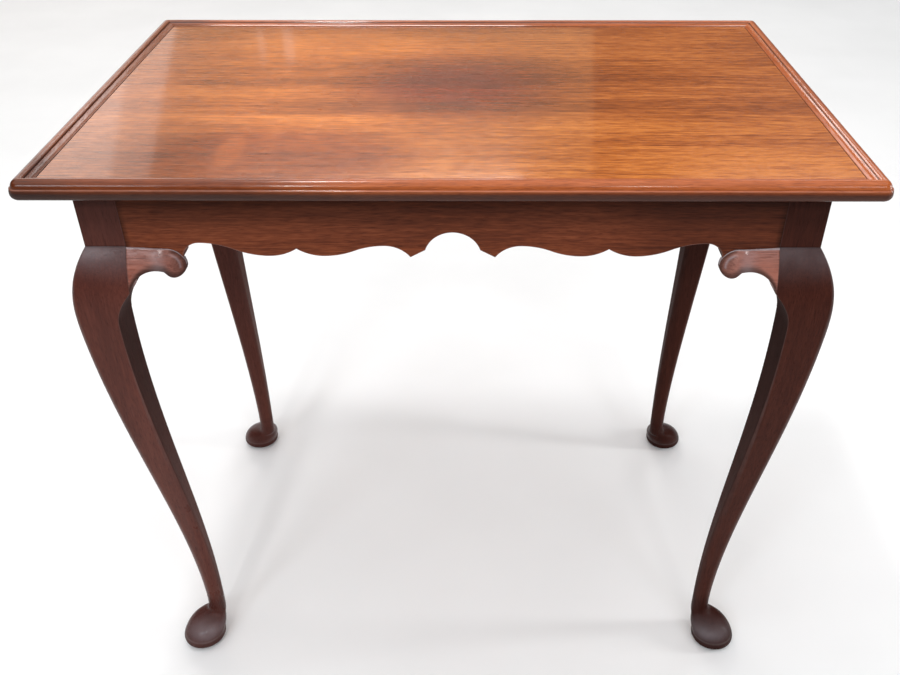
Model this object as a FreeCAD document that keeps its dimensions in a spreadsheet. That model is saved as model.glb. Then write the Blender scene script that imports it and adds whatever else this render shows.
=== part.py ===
import FreeCAD, Part
import math
import os

from FreeCAD import Placement, Rotation, Vector

# Tray top tea table, in millimetres.
# The origin lies on the floor under the middle of the top. X runs along the length, Y from the
# front to the back, Z upwards. Each corner of the frame also has a frame of its own, with its
# origin on the floor under the post's outer corner and both axes pointing inwards.

os.makedirs("parts", exist_ok=True)
doc = FreeCAD.newDocument("tray_top_tea_table")

# Driving dimensions

SIZES = {
    # tray top
    "top_length": 762,  # over the rim, left to right
    "top_width": 483,  # over the rim, front to back
    "table_height": 673,  # floor to the crest of the rim
    "top_overhang": 38,  # outermost edge of the rim to the faces of the frame
    "rim_width": 20.5,
    "rim_height": 20,  # crest of the rim to the underside of the top
    "tray_depth": 4.5,  # crest of the rim to the field
    "bullnose_return_width": 3.6,  # how far the bullnose turns in at the bottom
    "ledge_drop": 8,  # crest of the rim to the ledge over the bullnose
    "ledge_inset": 1,  # outermost edge to the start of the ledge
    "ledge_width": 1.2,
    "ledge_step": 0.6,  # upright strip behind the ledge
    "crest_inset": 9.2,  # outermost edge to the crest
    "bead_width": 3.6,  # crest to the inner end of the bead
    "bead_drop": 1.6,
    "cove_step_height": 0.4,
    "fillet_width": 1.6,  # flat strip beside the field
    "fillet_rise": 0.5,  # that strip above the field
    "tongue_drop": 5,  # field to the top of the tongue round the boards
    "tongue_thickness": 5,
    "tongue_length": 6,
    "joint_clearance": 0.2,  # glue room at the ends of tongues and tenons
    # frame
    "post_side": 38.5,
    "apron_thickness": 20,
    "apron_depth": 74.4,  # underside of the top to the points of the scalloped edge
    "tenon_length": 22,
    "tenon_thickness": 8,
    "tenon_setback": 6,  # face of the apron to the tenon
    "tenon_height": 40,
    "tenon_shoulder": 10,  # top of the apron to the top of the tenon
    # scalloped edge, heights measured up from the points
    "arch_radius": 27,  # round arch in the middle of a long apron
    "arch_rise": 26.4,
    "arch_half_width": 25.7,
    "point_from_centre": 39.8,  # drop points on both sides of the arch
    "hollow_width": 24,
    "hollow_rise": 12.1,
    "lobe_rise": 1.2,
    "lobe_half_width": 25.5,  # cusp to the low point of each lobe beside it
    "cusp_rise": 8.9,
    "end_hollow_width": 16.4,
    "end_hollow_rise": 15,
    # cabriole leg
    "knee_line_rise": 11.4,  # points of the apron up to the break between post and knee
    "knee_drop": 78,  # that break down to the fullest part of the knee
    "knee_proud": 19.5,  # fullest part of the knee beyond the post's faces
    "knee_side": 41.2,
    "knee_corner": 6,  # rounding of the knee's outer corner
    "post_corner": 0.8,  # rounding of the post's arrises
    "ankle_height": 70,  # floor to the thinnest part
    "ankle_diameter": 20.4,
    "ankle_set_in": 30.5,  # post's outer faces to the middle of the ankle
    "instep_height": 35,
    "pad_rim_height": 11,  # floor to the widest part of the pad foot
    "pad_diameter": 50.5,
    "pad_base_diameter": 40,
    "pad_set_in": 12,  # post's outer faces to the middle of the pad
    "glide_thickness": 3,
    "glide_diameter": 22,
    "glide_edge": 1.5,
    "nail_diameter": 2.5,
    "nail_length": 16,
    "nail_hold": 2,  # length of the nail inside the glide
    # knee blocks with scrolled ears
    "ear_reach": 53.5,  # post to the tip of the ear
    "ear_radius": 17,
    "ear_fall": 2,  # how far the top edge dips towards the ear
    "ear_lap": 2,  # tip of the ear past the end of the apron's hook
    "scroll_radius": 9.5,
    "knee_arch_radius": 26.7,
    "knee_arch_reach": 26,  # post to the centre of the arch under the block
    "knee_arch_drop": 47.8,  # knee line down to that centre
    "block_proud": 0.6,  # face of the block beyond the knee's curve
    "block_depth": 4,  # face of the frame to the back of the block
    # corner blocks inside the frame
    "corner_block_width": 32,
    "corner_block_height": 34,
    "corner_block_drop": 21,  # underside of the top to the block
    "corner_block_clear": 2,
    "corner_screw_reach": 33.5,  # post to the screw's axis along the apron
    "corner_screw_grip": 20,  # wood under the screw's head
    "corner_screw_length": 32,
    # buttons that hold the top down
    "button_length": 34,
    "button_width": 30,
    "button_tongue": 7,
    "button_tongue_thickness": 6,
    "button_clearance": 0.3,
    "groove_drop": 11,  # underside of the top to the groove in the apron
    "groove_depth": 8,
    "button_spacing": 190,  # between neighbours on a long apron
    "button_screw_inset": 20,  # apron to the screw's axis
    "button_screw_hold": 10,  # length of the screw inside the top
    # wood screws
    "screw_diameter": 4.2,
    "screw_head_diameter": 8,
    "screw_head_height": 2.6,
    "screw_point": 4,
    "head_clearance": 0.75,  # round a sunk head
}

# Shares and powers, which have no length

SHAPES = {
    "cusp_share": 0.54,  # place of the cusp between the point and the end hollow
    "knee_fullness": 2.7,  # power of the knee's outer curve
    "leg_straightness": 0.15,  # part of the calf's line that is straight
    "calf_taper": 1.25,  # power of the calf's taper, 1 for an even one
    "soft_corner": 0.98,  # corner radius of a section that is nearly round, against half its side
}

BOARDS = ("front", "middle", "back")
# Each corner's side in X and Y, and the turn about Z from the front left one
CORNERS = {
    "front_left": (-1, -1, 0),
    "front_right": (1, -1, 90),
    "back_right": (1, 1, 180),
    "back_left": (-1, 1, 270),
}

# Places worked out from the driving dimensions

PLACES = {
    "top_underside": "Sizes.table_height - Sizes.rim_height",
    "field_height": "Sizes.table_height - Sizes.tray_depth",
    "field_length": "Sizes.top_length - 2 * Sizes.rim_width",
    "field_width": "Sizes.top_width - 2 * Sizes.rim_width",
    "board_width": f"(Sizes.top_width - 2 * Sizes.rim_width) / {len(BOARDS)}",
    "tongue_base": "Sizes.table_height - Sizes.tray_depth - Sizes.tongue_drop - Sizes.tongue_thickness",
    "post_x": "Sizes.top_length / 2 - Sizes.top_overhang",
    "post_y": "Sizes.top_width / 2 - Sizes.top_overhang",
    "apron_low": "Sizes.table_height - Sizes.rim_height - Sizes.apron_depth",
    "tenon_base": "Sizes.table_height - Sizes.rim_height - Sizes.tenon_shoulder - Sizes.tenon_height",
    "groove_height": "Sizes.button_tongue_thickness + 2 * Sizes.button_clearance",
    "groove_base": "Sizes.table_height - Sizes.rim_height - Sizes.groove_drop"
    " - Sizes.button_tongue_thickness - 2 * Sizes.button_clearance",
    "button_base": "Sizes.table_height - Sizes.rim_height - Sizes.groove_drop"
    " - Sizes.button_tongue_thickness - Sizes.button_clearance",
    "corner_block_base": "Sizes.table_height - Sizes.rim_height"
    " - Sizes.corner_block_drop - Sizes.corner_block_height",
}


def fill_sheet(name, rows, mark=""):
    """A sheet with a name, a value or formula and an alias in each row."""
    sheet = doc.addObject("Spreadsheet::Sheet", name)
    for row, (alias, value) in enumerate(rows.items(), start=1):
        sheet.set(f"A{row}", alias)
        sheet.set(f"B{row}", f"{mark}{value}")
        sheet.setAlias(f"B{row}", alias)
    doc.recompute()
    return sheet


sizes = fill_sheet("Sizes", SIZES | SHAPES)
places = fill_sheet("Places", PLACES, "=")


def size(alias):
    return float(sizes.get(alias))


def place(alias):
    return float(places.get(alias))


# Shared helpers

PROPERTY = {"x": "Placement.Base.x", "y": "Placement.Base.y", "z": "Placement.Base.z"}


def bound(kind, name, **expressions):
    """A primitive whose sizes and place follow the sheets."""
    piece = doc.addObject(kind, name)
    for key, expression in expressions.items():
        piece.setExpression(PROPERTY.get(key, key), expression)
    return piece


def joined(name, shapes):
    piece = doc.addObject("Part::MultiFuse", name)
    piece.Shapes = shapes
    return piece


def cut(name, base, tool):
    piece = doc.addObject("Part::Cut", name)
    piece.Base = base
    piece.Tool = tool
    return piece


def fixed(name, shape, placement=None):
    """A piece whose shape is worked out here from the sheets."""
    piece = doc.addObject("Part::Feature", name)
    piece.Shape = shape
    if placement is not None:
        piece.Placement = placement
    return piece


def arc(start, middle, end):
    return Part.Arc(start, middle, end)


LEFT, RIGHT, UP, DOWN = Vector(-1, 0), Vector(1, 0), Vector(0, 1), Vector(0, -1)


def sweep(start, heading, end):
    """The arc that leaves one point along a heading and runs to another."""
    chord = end - start
    across = Vector(-chord.y, chord.x).normalize()
    if across.dot(heading) < 0:
        across = -across
    half_turn = chord.getAngle(heading) / 2
    bulge = chord.Length / 2 * math.tan(half_turn)
    return arc(start, (start + end) * 0.5 + across * bulge, end)


def line(start, end):
    return Part.LineSegment(start, end)


def sketch_in(body, name, role, curves, offset=None):
    """A sketch of the curves on one of the body's own planes."""
    plane = next(item for item in body.Origin.OriginFeatures if item.Role == role)
    sketch = body.newObject("Sketcher::SketchObject", name)
    sketch.AttachmentSupport = [(plane, "")]
    sketch.MapMode = "FlatFace"
    if offset:
        sketch.setExpression("AttachmentOffset.Base.z", offset)
    for curve in curves:
        sketch.addGeometry(curve, False)
    return sketch


def polygon(corners):
    return [line(a, b) for a, b in zip(corners, corners[1:] + corners[:1])]


def rectangle(left, low, right, high):
    return polygon([Vector(left, low), Vector(right, low), Vector(right, high), Vector(left, high)])


def pad(body, name, sketch, length, reverse=False, symmetric=False):
    feature = body.newObject("PartDesign::Pad", name)
    feature.Profile = sketch
    feature.setExpression("Length", length)
    feature.Reversed = reverse
    if symmetric:
        feature.SideType = "Symmetric"
    doc.recompute()
    return feature


def pocket(body, name, sketch, length=None, reverse=False):
    """A cut to a length, or right through both ways where no length is given."""
    before = body.Shape.Volume
    feature = body.newObject("PartDesign::Pocket", name)
    feature.Profile = sketch
    feature.Reversed = reverse
    if length:
        feature.setExpression("Length", length)
    else:
        feature.SideType = "Symmetric"
        feature.Type = "ThroughAll"
    doc.recompute()
    if body.Shape.Volume >= before:
        raise RuntimeError(f"{body.Name}: {name} cuts nothing")
    return feature


def turned(name, curves):
    """A body turned about Z from a profile in the XZ plane."""
    body = doc.addObject("PartDesign::Body", name)
    sketch = sketch_in(body, f"{name}_profile", "XZ_Plane", curves)
    feature = body.newObject("PartDesign::Revolution", f"{name}_turning")
    feature.Profile = sketch
    feature.ReferenceAxis = (sketch, ["V_Axis"])
    feature.Angle = 360
    doc.recompute()
    return body


def corner_placement(corner):
    """From a corner's own frame to the table's."""
    side_x, side_y, turn = CORNERS[corner]
    spot = Vector(side_x * place("post_x"), side_y * place("post_y"), 0)
    return Placement(spot, Rotation(Vector(0, 0, 1), turn))


def moved(shape, placement):
    copy = shape.copy()
    copy.Placement = placement.multiply(copy.Placement)
    return copy


nodes = {}


def keep(name, piece):
    piece.Label = name
    nodes[name] = piece


# Tray rim: a moulding with a groove for the boards, mitred at the corners


def rim_profile(outer_edge):
    """The moulding's outline, from the outermost edge inwards, in one vertical plane."""
    crest = size("table_height")

    def at(inset, drop):
        return Vector(outer_edge + inset, crest - drop)

    width, height = size("rim_width"), size("rim_height")
    ledge, ledge_end = size("ledge_inset"), size("ledge_inset") + size("ledge_width")
    ledge_drop, step_drop = size("ledge_drop"), size("ledge_drop") - size("ledge_step")
    crest_in, bead_in = size("crest_inset"), size("crest_inset") + size("bead_width")
    bead_drop, cove_drop = size("bead_drop"), size("bead_drop") + size("cove_step_height")
    fillet_in, fillet_drop = width - size("fillet_width"), size("tray_depth") - size("fillet_rise")
    groove_top = size("tray_depth") + size("tongue_drop")
    groove_low = groove_top + size("tongue_thickness")
    groove_in = width - size("tongue_length") - size("joint_clearance")
    nose, top = at(0, (ledge_drop + height) / 2), at(crest_in, 0)
    return [
        line(at(width, height), at(size("bullnose_return_width"), height)),
        sweep(nose, DOWN, at(size("bullnose_return_width"), height)),
        sweep(nose, UP, at(ledge, ledge_drop)),
        line(at(ledge, ledge_drop), at(ledge_end, ledge_drop)),
        line(at(ledge_end, ledge_drop), at(ledge_end, step_drop)),
        sweep(at(ledge_end, step_drop), UP, top),
        sweep(top, RIGHT, at(bead_in, bead_drop)),
        line(at(bead_in, bead_drop), at(bead_in, cove_drop)),
        sweep(at(fillet_in, fillet_drop), LEFT, at(bead_in, cove_drop)),
        line(at(fillet_in, fillet_drop), at(width, fillet_drop)),
        line(at(width, fillet_drop), at(width, groove_top)),
        line(at(width, groove_top), at(groove_in, groove_top)),
        line(at(groove_in, groove_top), at(groove_in, groove_low)),
        line(at(groove_in, groove_low), at(width, groove_low)),
        line(at(width, groove_low), at(width, height)),
    ]


def tray_rim(name, role, length, outer_edge, half_length, turn):
    """One side of the rim, cut to 45 degrees at both ends."""
    body = doc.addObject("PartDesign::Body", name)
    profile = sketch_in(body, f"{name}_profile", role, rim_profile(outer_edge))
    pad(body, f"{name}_moulding", profile, length, symmetric=True)
    width = size("rim_width")
    ends = []
    for side in (-1, 1):
        tip = side * half_length
        back = side * (half_length - width)
        corners = [(tip, outer_edge), (tip, outer_edge + width), (back, outer_edge + width)]
        ends += polygon([Vector(a, b) if role == "YZ_Plane" else Vector(b, a) for a, b in corners])
    mitres = sketch_in(body, f"{name}_mitre_lines", "XY_Plane", ends)
    pocket(body, f"{name}_mitres", mitres)
    body.Placement = Placement(Vector(0, 0, 0), Rotation(Vector(0, 0, 1), turn))
    keep(name, body)


half_length, half_width = size("top_length") / 2, size("top_width") / 2
tray_rim("tray_rim_front", "YZ_Plane", "Sizes.top_length", -half_width, half_length, 0)
tray_rim("tray_rim_back", "YZ_Plane", "Sizes.top_length", -half_width, half_length, 180)
tray_rim("tray_rim_left", "XZ_Plane", "Sizes.top_width", -half_length, half_width, 0)
tray_rim("tray_rim_right", "XZ_Plane", "Sizes.top_width", -half_length, half_width, 180)

# Field of the tray: boards glued edge to edge, with a tongue all round


def button_spots():
    """Where each button meets its apron: the middle of its tongue's root, and its turn about Z."""
    inner_x = place("post_x") - size("apron_thickness")
    inner_y = place("post_y") - size("apron_thickness")
    spots = {}
    for column, along in (("left", -1), ("middle", 0), ("right", 1)):
        shift = along * size("button_spacing")
        spots[f"front_{column}"] = (Vector(shift, -inner_y, 0), 0)
        spots[f"back_{column}"] = (Vector(shift, inner_y, 0), 180)
    spots["left_end"] = (Vector(-inner_x, 0, 0), 270)
    spots["right_end"] = (Vector(inner_x, 0, 0), 90)
    return {name: Placement(spot, Rotation(Vector(0, 0, 1), turn)) for name, (spot, turn) in spots.items()}


def screw_holes():
    """Pilot holes for the buttons' screws, up into the boards."""
    foot = Vector(0, size("button_screw_inset"), place("top_underside"))
    hole = Part.makeCylinder(size("screw_diameter") / 2, size("button_screw_hold"), foot)
    return Part.makeCompound([moved(hole, spot) for spot in button_spots().values()])


pilots = fixed("pilot_holes", screw_holes())
for index, row in enumerate(BOARDS):
    front = f"(Places.board_width * {index} - Places.field_width / 2)"
    field = bound(
        "Part::Box",
        f"field_{row}",
        Length="Places.field_length",
        Width="Places.board_width",
        Height="Sizes.rim_height - Sizes.tray_depth",
        x="-Places.field_length / 2",
        y=front,
        z="Places.top_underside",
    )
    end_tongues = bound(
        "Part::Box",
        f"end_tongues_{row}",
        Length="Places.field_length + 2 * Sizes.tongue_length",
        Width="Places.board_width",
        Height="Sizes.tongue_thickness",
        x="-Places.field_length / 2 - Sizes.tongue_length",
        y=front,
        z="Places.tongue_base",
    )
    pieces = [field, end_tongues]
    if row != "middle":
        back = f"({front} - Sizes.tongue_length)" if row == "front" else f"({front} + Places.board_width)"
        edge = bound(
            "Part::Box",
            f"edge_tongue_{row}",
            Length="Places.field_length",
            Width="Sizes.tongue_length",
            Height="Sizes.tongue_thickness",
            x="-Places.field_length / 2",
            y=back,
            z="Places.tongue_base",
        )
        pieces.append(edge)
    board = cut(f"board_{row}", joined(f"board_{row}_blank", pieces), pilots)
    keep(f"top_board_{row}", board)

# Aprons: scalloped rails, flush with the posts, tenoned into them


def swing(start, end):
    """Two equal arcs from one level point to another on its right, like a drawn-out S."""
    middle = (start + end) * 0.5
    return [sweep(start, RIGHT, middle), sweep(end, LEFT, middle)]


def half_scallop(half_run, with_arch):
    """The right half of an apron's lower edge, from the middle to the post."""
    low = place("apron_low")
    hook = half_run - size("ear_reach") + size("ear_lap")
    hollow = Vector(hook - size("end_hollow_width"), low + size("end_hollow_rise"))
    curves = []
    if with_arch:
        crown = Vector(0, low + size("arch_rise"))
        radius, half = size("arch_radius"), size("arch_half_width")
        spring = Vector(half, crown.y - radius + math.sqrt(radius * radius - half * half))
        point = Vector(size("point_from_centre"), low)
        dip = Vector(point.x + size("hollow_width"), low + size("hollow_rise"))
        cusp_x = point.x + (hollow.x - point.x) * size("cusp_share")
        inner_lobe = Vector(cusp_x - size("lobe_half_width"), low + size("lobe_rise"))
        cusp = Vector(cusp_x, low + size("cusp_rise"))
        curves += [sweep(crown, RIGHT, spring), line(spring, point), sweep(dip, LEFT, point)]
        curves += swing(dip, inner_lobe)
        curves.append(sweep(inner_lobe, RIGHT, cusp))
    else:
        cusp = Vector(0, low + size("cusp_rise"))
    outer_lobe = Vector(cusp.x + size("lobe_half_width"), low + size("lobe_rise"))
    hook_end = Vector(hook, low)
    curves.append(sweep(outer_lobe, LEFT, cusp))
    curves += swing(outer_lobe, hollow)
    curves += [sweep(hollow, RIGHT, hook_end), line(hook_end, Vector(half_run, low))]
    return curves


def mirrored_curve(curve):
    def flip(point):
        return Vector(-point.x, point.y)

    if isinstance(curve, Part.LineSegment):
        return line(flip(curve.StartPoint), flip(curve.EndPoint))
    middle = curve.value((curve.FirstParameter + curve.LastParameter) / 2)
    return arc(flip(curve.StartPoint), flip(middle), flip(curve.EndPoint))


def apron(name, half_run, with_arch, spot, turn):
    """An apron in its own frame: face at y = 0, thickness towards +y, tenons at both ends."""
    low, top = place("apron_low"), place("top_underside")
    right = half_scallop(half_run, with_arch)
    outline = right + [mirrored_curve(curve) for curve in right]
    outline += [
        line(Vector(half_run, low), Vector(half_run, top)),
        line(Vector(half_run, top), Vector(-half_run, top)),
        line(Vector(-half_run, top), Vector(-half_run, low)),
    ]
    body = doc.addObject("PartDesign::Body", name)
    board = sketch_in(body, f"{name}_outline", "XZ_Plane", outline)
    pad(body, f"{name}_board", board, "Sizes.apron_thickness", True)
    reach = half_run + size("tenon_length")
    tenon = rectangle(-reach, place("tenon_base"), reach, place("tenon_base") + size("tenon_height"))
    tenon_sketch = sketch_in(body, f"{name}_tenon_lines", "XZ_Plane", tenon, "-Sizes.tenon_setback")
    pad(body, f"{name}_tenons", tenon_sketch, "Sizes.tenon_thickness", True)
    groove_low = place("groove_base")
    groove = rectangle(-half_run, groove_low, half_run, groove_low + place("groove_height"))
    groove_sketch = sketch_in(body, f"{name}_groove_lines", "XZ_Plane", groove, "-Sizes.apron_thickness")
    pocket(body, f"{name}_groove", groove_sketch, "Sizes.groove_depth", True)
    screw_height = place("corner_block_base") + size("corner_block_height") / 2
    holes = []
    for side in (-1, 1):
        centre = Vector(side * (half_run - size("corner_screw_reach")), screw_height)
        holes.append(Part.Circle(centre, Vector(0, 0, 1), size("screw_diameter") / 2))
    hole_sketch = sketch_in(body, f"{name}_screw_lines", "XZ_Plane", holes, "-Sizes.apron_thickness")
    hole_depth = "Sizes.corner_screw_length - Sizes.corner_screw_grip"
    pocket(body, f"{name}_screw_holes", hole_sketch, hole_depth, True)
    body.Placement = Placement(spot, Rotation(Vector(0, 0, 1), turn))
    keep(name, body)


long_run = place("post_x") - size("post_side")
short_run = place("post_y") - size("post_side")
apron("apron_front", long_run, True, Vector(0, -place("post_y"), 0), 0)
apron("apron_back", long_run, True, Vector(0, place("post_y"), 0), 180)
apron("apron_right", short_run, False, Vector(place("post_x"), 0, 0), 90)
apron("apron_left", short_run, False, Vector(-place("post_x"), 0, 0), 270)

# Cabriole legs: square post, knee, tapering calf, round ankle and pad foot from one billet


def knee_line():
    return place("apron_low") + size("knee_line_rise")


def knee_outer(height):
    """How far the knee stands beyond the post's faces at a height above its fullest part."""
    share = (height - knee_line() + size("knee_drop")) / size("knee_drop")
    return size("knee_proud") * (1 - max(0, share) ** size("knee_fullness"))


def arch_foot():
    """Height where the arch under the knee block meets the leg."""
    drop = math.sqrt(size("knee_arch_radius") ** 2 - size("knee_arch_reach") ** 2)
    return knee_line() - size("knee_arch_drop") + drop


def leg_section(height, outer, inner, corners):
    """A square in the corner's frame with its own rounding at each corner.

    outer is how far it stands beyond the post's faces, inner how far it reaches inwards, and
    corners holds the radii of the outer corner, the two side corners and the inner corner.
    """
    outer_corner, side_corner, inner_corner = corners
    low, high = -outer, inner
    turn = 1 - math.sqrt(0.5)
    spots = [
        (low, low, 1, 1, outer_corner),
        (high, low, -1, 1, side_corner),
        (high, high, -1, -1, inner_corner),
        (low, high, 1, -1, side_corner),
    ]
    edges = []
    ends = []
    for index, (x, y, to_x, to_y, radius) in enumerate(spots):
        along_x = Vector(x + to_x * radius, y, height)
        along_y = Vector(x, y + to_y * radius, height)
        first, last = (along_y, along_x) if index % 2 == 0 else (along_x, along_y)
        middle = Vector(x + to_x * radius * turn, y + to_y * radius * turn, height)
        ends.append((first, last))
        edges.append(arc(first, middle, last).toShape())
    lines = [line(ends[index][1], ends[(index + 1) % 4][0]).toShape() for index in range(4)]
    return Part.Wire([edge for pair in zip(edges, lines) for edge in pair])


def knee_sections():
    """From the break under the post down to the fullest part of the knee."""
    post, top, foot = size("post_side"), knee_line(), arch_foot()
    full = top - size("knee_drop")
    knee_inner = size("knee_side") - size("knee_proud")
    sections = []
    for share in (0, 0.17, 0.34, 0.5, 0.66, 0.83):
        height = top - share * size("knee_drop")
        ease = max(0, (foot - height) / (foot - full))
        inner = post + (knee_inner - post) * (1 - (1 - ease) ** 2)
        outer_corner = size("post_corner") + (size("knee_corner") - size("post_corner")) * share
        corners = (outer_corner, size("post_corner"), size("post_corner") * (1 + 3 * share))
        sections.append(leg_section(height, knee_outer(height), inner, corners))
    return sections


def calf_sections():
    """From the knee down to the ankle: an S with a steady taper, squarer above, round below."""
    full = knee_line() - size("knee_drop")
    knee_centre = size("knee_proud") - size("knee_side") / 2
    sections = []
    for share in (1, 0.88, 0.75, 0.6, 0.45, 0.3, 0.15, 0):
        height = size("ankle_height") + share * (full - size("ankle_height"))
        smooth = share * share * (3 - 2 * share)
        lean = smooth + (share - smooth) * size("leg_straightness")
        centre = -size("ankle_set_in") + (knee_centre + size("ankle_set_in")) * lean
        taper = (size("knee_side") - size("ankle_diameter")) * share ** size("calf_taper")
        half = (size("ankle_diameter") + taper) / 2
        first = 2 * size("knee_corner") / size("knee_side")
        softness, soft = (1 - share) ** 1.5, size("soft_corner")
        outer_corner = half * (first + (soft - first) * softness)
        side_corner = half * soft * softness + size("post_corner") * share
        inner_corner = half * (0.2 + (soft - 0.2) * softness)
        corners = (outer_corner, min(side_corner, half * soft), inner_corner)
        sections.append(leg_section(height, centre + half, half - centre, corners))
    return sections


def foot_sections():
    """From the ankle over the instep and round the pad to its base."""
    ankle = size("ankle_diameter") / 2
    pad_half, base = size("pad_diameter") / 2, size("pad_base_diameter") / 2
    instep, rim, floor = size("instep_height"), size("pad_rim_height"), size("glide_thickness")
    sections = []

    def ring(height, half, set_in):
        corner = half * size("soft_corner")
        sections.append(leg_section(height, half - set_in, half + set_in, (corner, corner, corner)))

    ring((size("ankle_height") + instep) / 2, ankle * 1.03, size("ankle_set_in") - 0.3)
    for share in (0.97, 0.82, 0.6, 0.3, 0):
        swell = math.sqrt(1 - share * share)
        half = ankle + (pad_half - ankle) * swell
        set_in = size("ankle_set_in") + (size("pad_set_in") - size("ankle_set_in")) * swell
        ring(rim + share * (instep - rim), half, set_in)
    for share in (0.5, 0.85, 1):
        half = base + (pad_half - base) * math.sqrt(1 - share * share)
        ring(rim + share * (floor - rim), half, size("pad_set_in"))
    return sections


def leg_form():
    """The whole leg before its mortises are cut."""
    post, top = size("post_side"), knee_line()
    knee = knee_sections()
    leg = Part.makeLoft(knee + calf_sections() + foot_sections(), True, False)
    trim_height = top - arch_foot()
    block_seats = (
        Part.makeBox(post, 3 * post, trim_height, Vector(post, -post, arch_foot())),
        Part.makeBox(3 * post, post, trim_height, Vector(-post, post, arch_foot())),
    )
    for seat in block_seats:
        leg = leg.cut(seat)
    shaft = Part.Face(knee[0]).extrude(Vector(0, 0, place("top_underside") - top))
    leg = leg.fuse(shaft)
    nail_foot = Vector(size("pad_set_in"), size("pad_set_in"), size("glide_thickness"))
    nail_depth = size("nail_length") - size("nail_hold")
    return leg.cut(Part.makeCylinder(size("nail_diameter") / 2, nail_depth, nail_foot))


mortise_length = "Sizes.tenon_length + Sizes.joint_clearance"
mortise_front = bound(
    "Part::Box",
    "mortise_front",
    Length=mortise_length,
    Width="Sizes.tenon_thickness",
    Height="Sizes.tenon_height",
    x=f"Sizes.post_side - ({mortise_length})",
    y="Sizes.tenon_setback",
    z="Places.tenon_base",
)
mortise_side = bound(
    "Part::Box",
    "mortise_side",
    Length="Sizes.tenon_thickness",
    Width=mortise_length,
    Height="Sizes.tenon_height",
    x="Sizes.tenon_setback",
    y=f"Sizes.post_side - ({mortise_length})",
    z="Places.tenon_base",
)
leg_blank = fixed("leg_blank", leg_form())
leg_pattern = cut("leg_pattern", leg_blank, joined("mortises", [mortise_front, mortise_side]))
doc.recompute()
for corner in CORNERS:
    keep(f"leg_{corner}", fixed(f"leg_{corner}", leg_pattern.Shape.copy(), corner_placement(corner)))

# Knee blocks: scrolled ears that carry each knee's curve on under the aprons


def block_outline():
    """The block seen square to the apron, in the corner's XZ plane."""
    post, top = size("post_side"), knee_line()
    tip_x = post + size("ear_reach")
    ear, scroll = size("ear_radius"), size("scroll_radius")
    middle = top - size("ear_fall") - ear
    turn = math.sqrt(0.5)

    def at(x, z):
        return Vector(x, 0, z)

    ear_top = at(tip_x - ear, middle + ear)
    ear_bend = at(tip_x - ear * (1 - turn), middle + ear * turn)
    tip = at(tip_x, middle)
    scroll_x = tip_x - scroll
    scroll_low = at(scroll_x + scroll * math.sin(math.pi / 8), middle - scroll * math.cos(math.pi / 8))
    scroll_end = at(scroll_x - scroll * turn, middle - scroll * turn)
    arch = size("knee_arch_radius")
    centre = at(post + size("knee_arch_reach"), top - size("knee_arch_drop"))
    offset_x, offset_z = scroll_end.x - centre.x, scroll_end.z - centre.z
    half_b = (offset_z - offset_x) / 2
    rest = (offset_x**2 + offset_z**2 - arch**2) / 2
    step = -half_b + math.sqrt(half_b * half_b - rest)
    lip = scroll_end + Vector(-step, 0, step)
    lip_angle = math.atan2(lip.z - centre.z, lip.x - centre.x)
    foot = at(post, arch_foot())
    foot_angle = math.atan2(foot.z - centre.z, foot.x - centre.x)
    half_angle = (lip_angle + foot_angle) / 2
    crown = centre + Vector(arch * math.cos(half_angle), 0, arch * math.sin(half_angle))
    corner = at(post, top)
    curves = [
        line(corner, ear_top),
        arc(ear_top, ear_bend, tip),
        arc(tip, scroll_low, scroll_end),
        line(scroll_end, lip),
        arc(lip, crown, foot),
        line(foot, corner),
    ]
    return Part.Face(Part.Wire([curve.toShape() for curve in curves]))


def block_section():
    """The block seen from its end, with the knee's curve on its face, in the corner's YZ plane."""
    top = knee_line()
    shares = (0, 0.17, 0.34, 0.5, 0.66, 0.83, 1)
    heights = [top - share * size("knee_drop") for share in shares]
    proud = size("block_proud")
    face_points = [Vector(size("post_side"), -knee_outer(height) - proud, height) for height in heights]
    face = Part.BSplineCurve()
    face.interpolate(face_points)
    back_low = Vector(size("post_side"), size("block_depth"), heights[-1])
    back_top = Vector(size("post_side"), size("block_depth"), top)
    edges = [face, line(face_points[-1], back_low), line(back_low, back_top), line(back_top, face_points[0])]
    return Part.Face(Part.Wire([edge.toShape() for edge in edges]))


def extruded(name, face, direction, length):
    piece = doc.addObject("Part::Extrusion", name)
    piece.Base = face
    piece.DirMode = "Custom"
    piece.Dir = direction
    piece.Solid = True
    piece.setExpression("LengthFwd", length)
    return piece


outline_face = fixed("block_outline", block_outline())
outline_face.setExpression("Placement.Base.y", "-Sizes.knee_proud - Sizes.block_proud")
front_depth = "Sizes.knee_proud + Sizes.block_proud + Sizes.block_depth"
front_form = extruded("block_front", outline_face, Vector(0, 1, 0), front_depth)
section_face = fixed("block_section", block_section())
side_form = extruded("block_side", section_face, Vector(1, 0, 0), "Sizes.ear_reach")
block_form = doc.addObject("Part::Common", "block_form")
block_form.Base = front_form
block_form.Tool = side_form
apron_room = bound(
    "Part::Box",
    "apron_room",
    Length="Sizes.ear_reach",
    Width="Sizes.block_depth",
    Height="Sizes.apron_depth",
    x="Sizes.post_side",
    z="Places.apron_low",
)
block_pattern = cut("block_pattern", block_form, apron_room)
block_mirror = doc.addObject("Part::Mirroring", "block_mirror")
block_mirror.Source = block_pattern
block_mirror.Normal = Vector(1, -1, 0)
doc.recompute()
for corner, (_, _, turn) in CORNERS.items():
    along_x, along_y = (block_pattern, block_mirror) if turn in (0, 180) else (block_mirror, block_pattern)
    for name, pattern in ((f"knee_block_{corner}_long", along_x), (f"knee_block_{corner}_end", along_y)):
        keep(name, fixed(name, pattern.Shape.copy(), corner_placement(corner)))

# Wood screws


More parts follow.
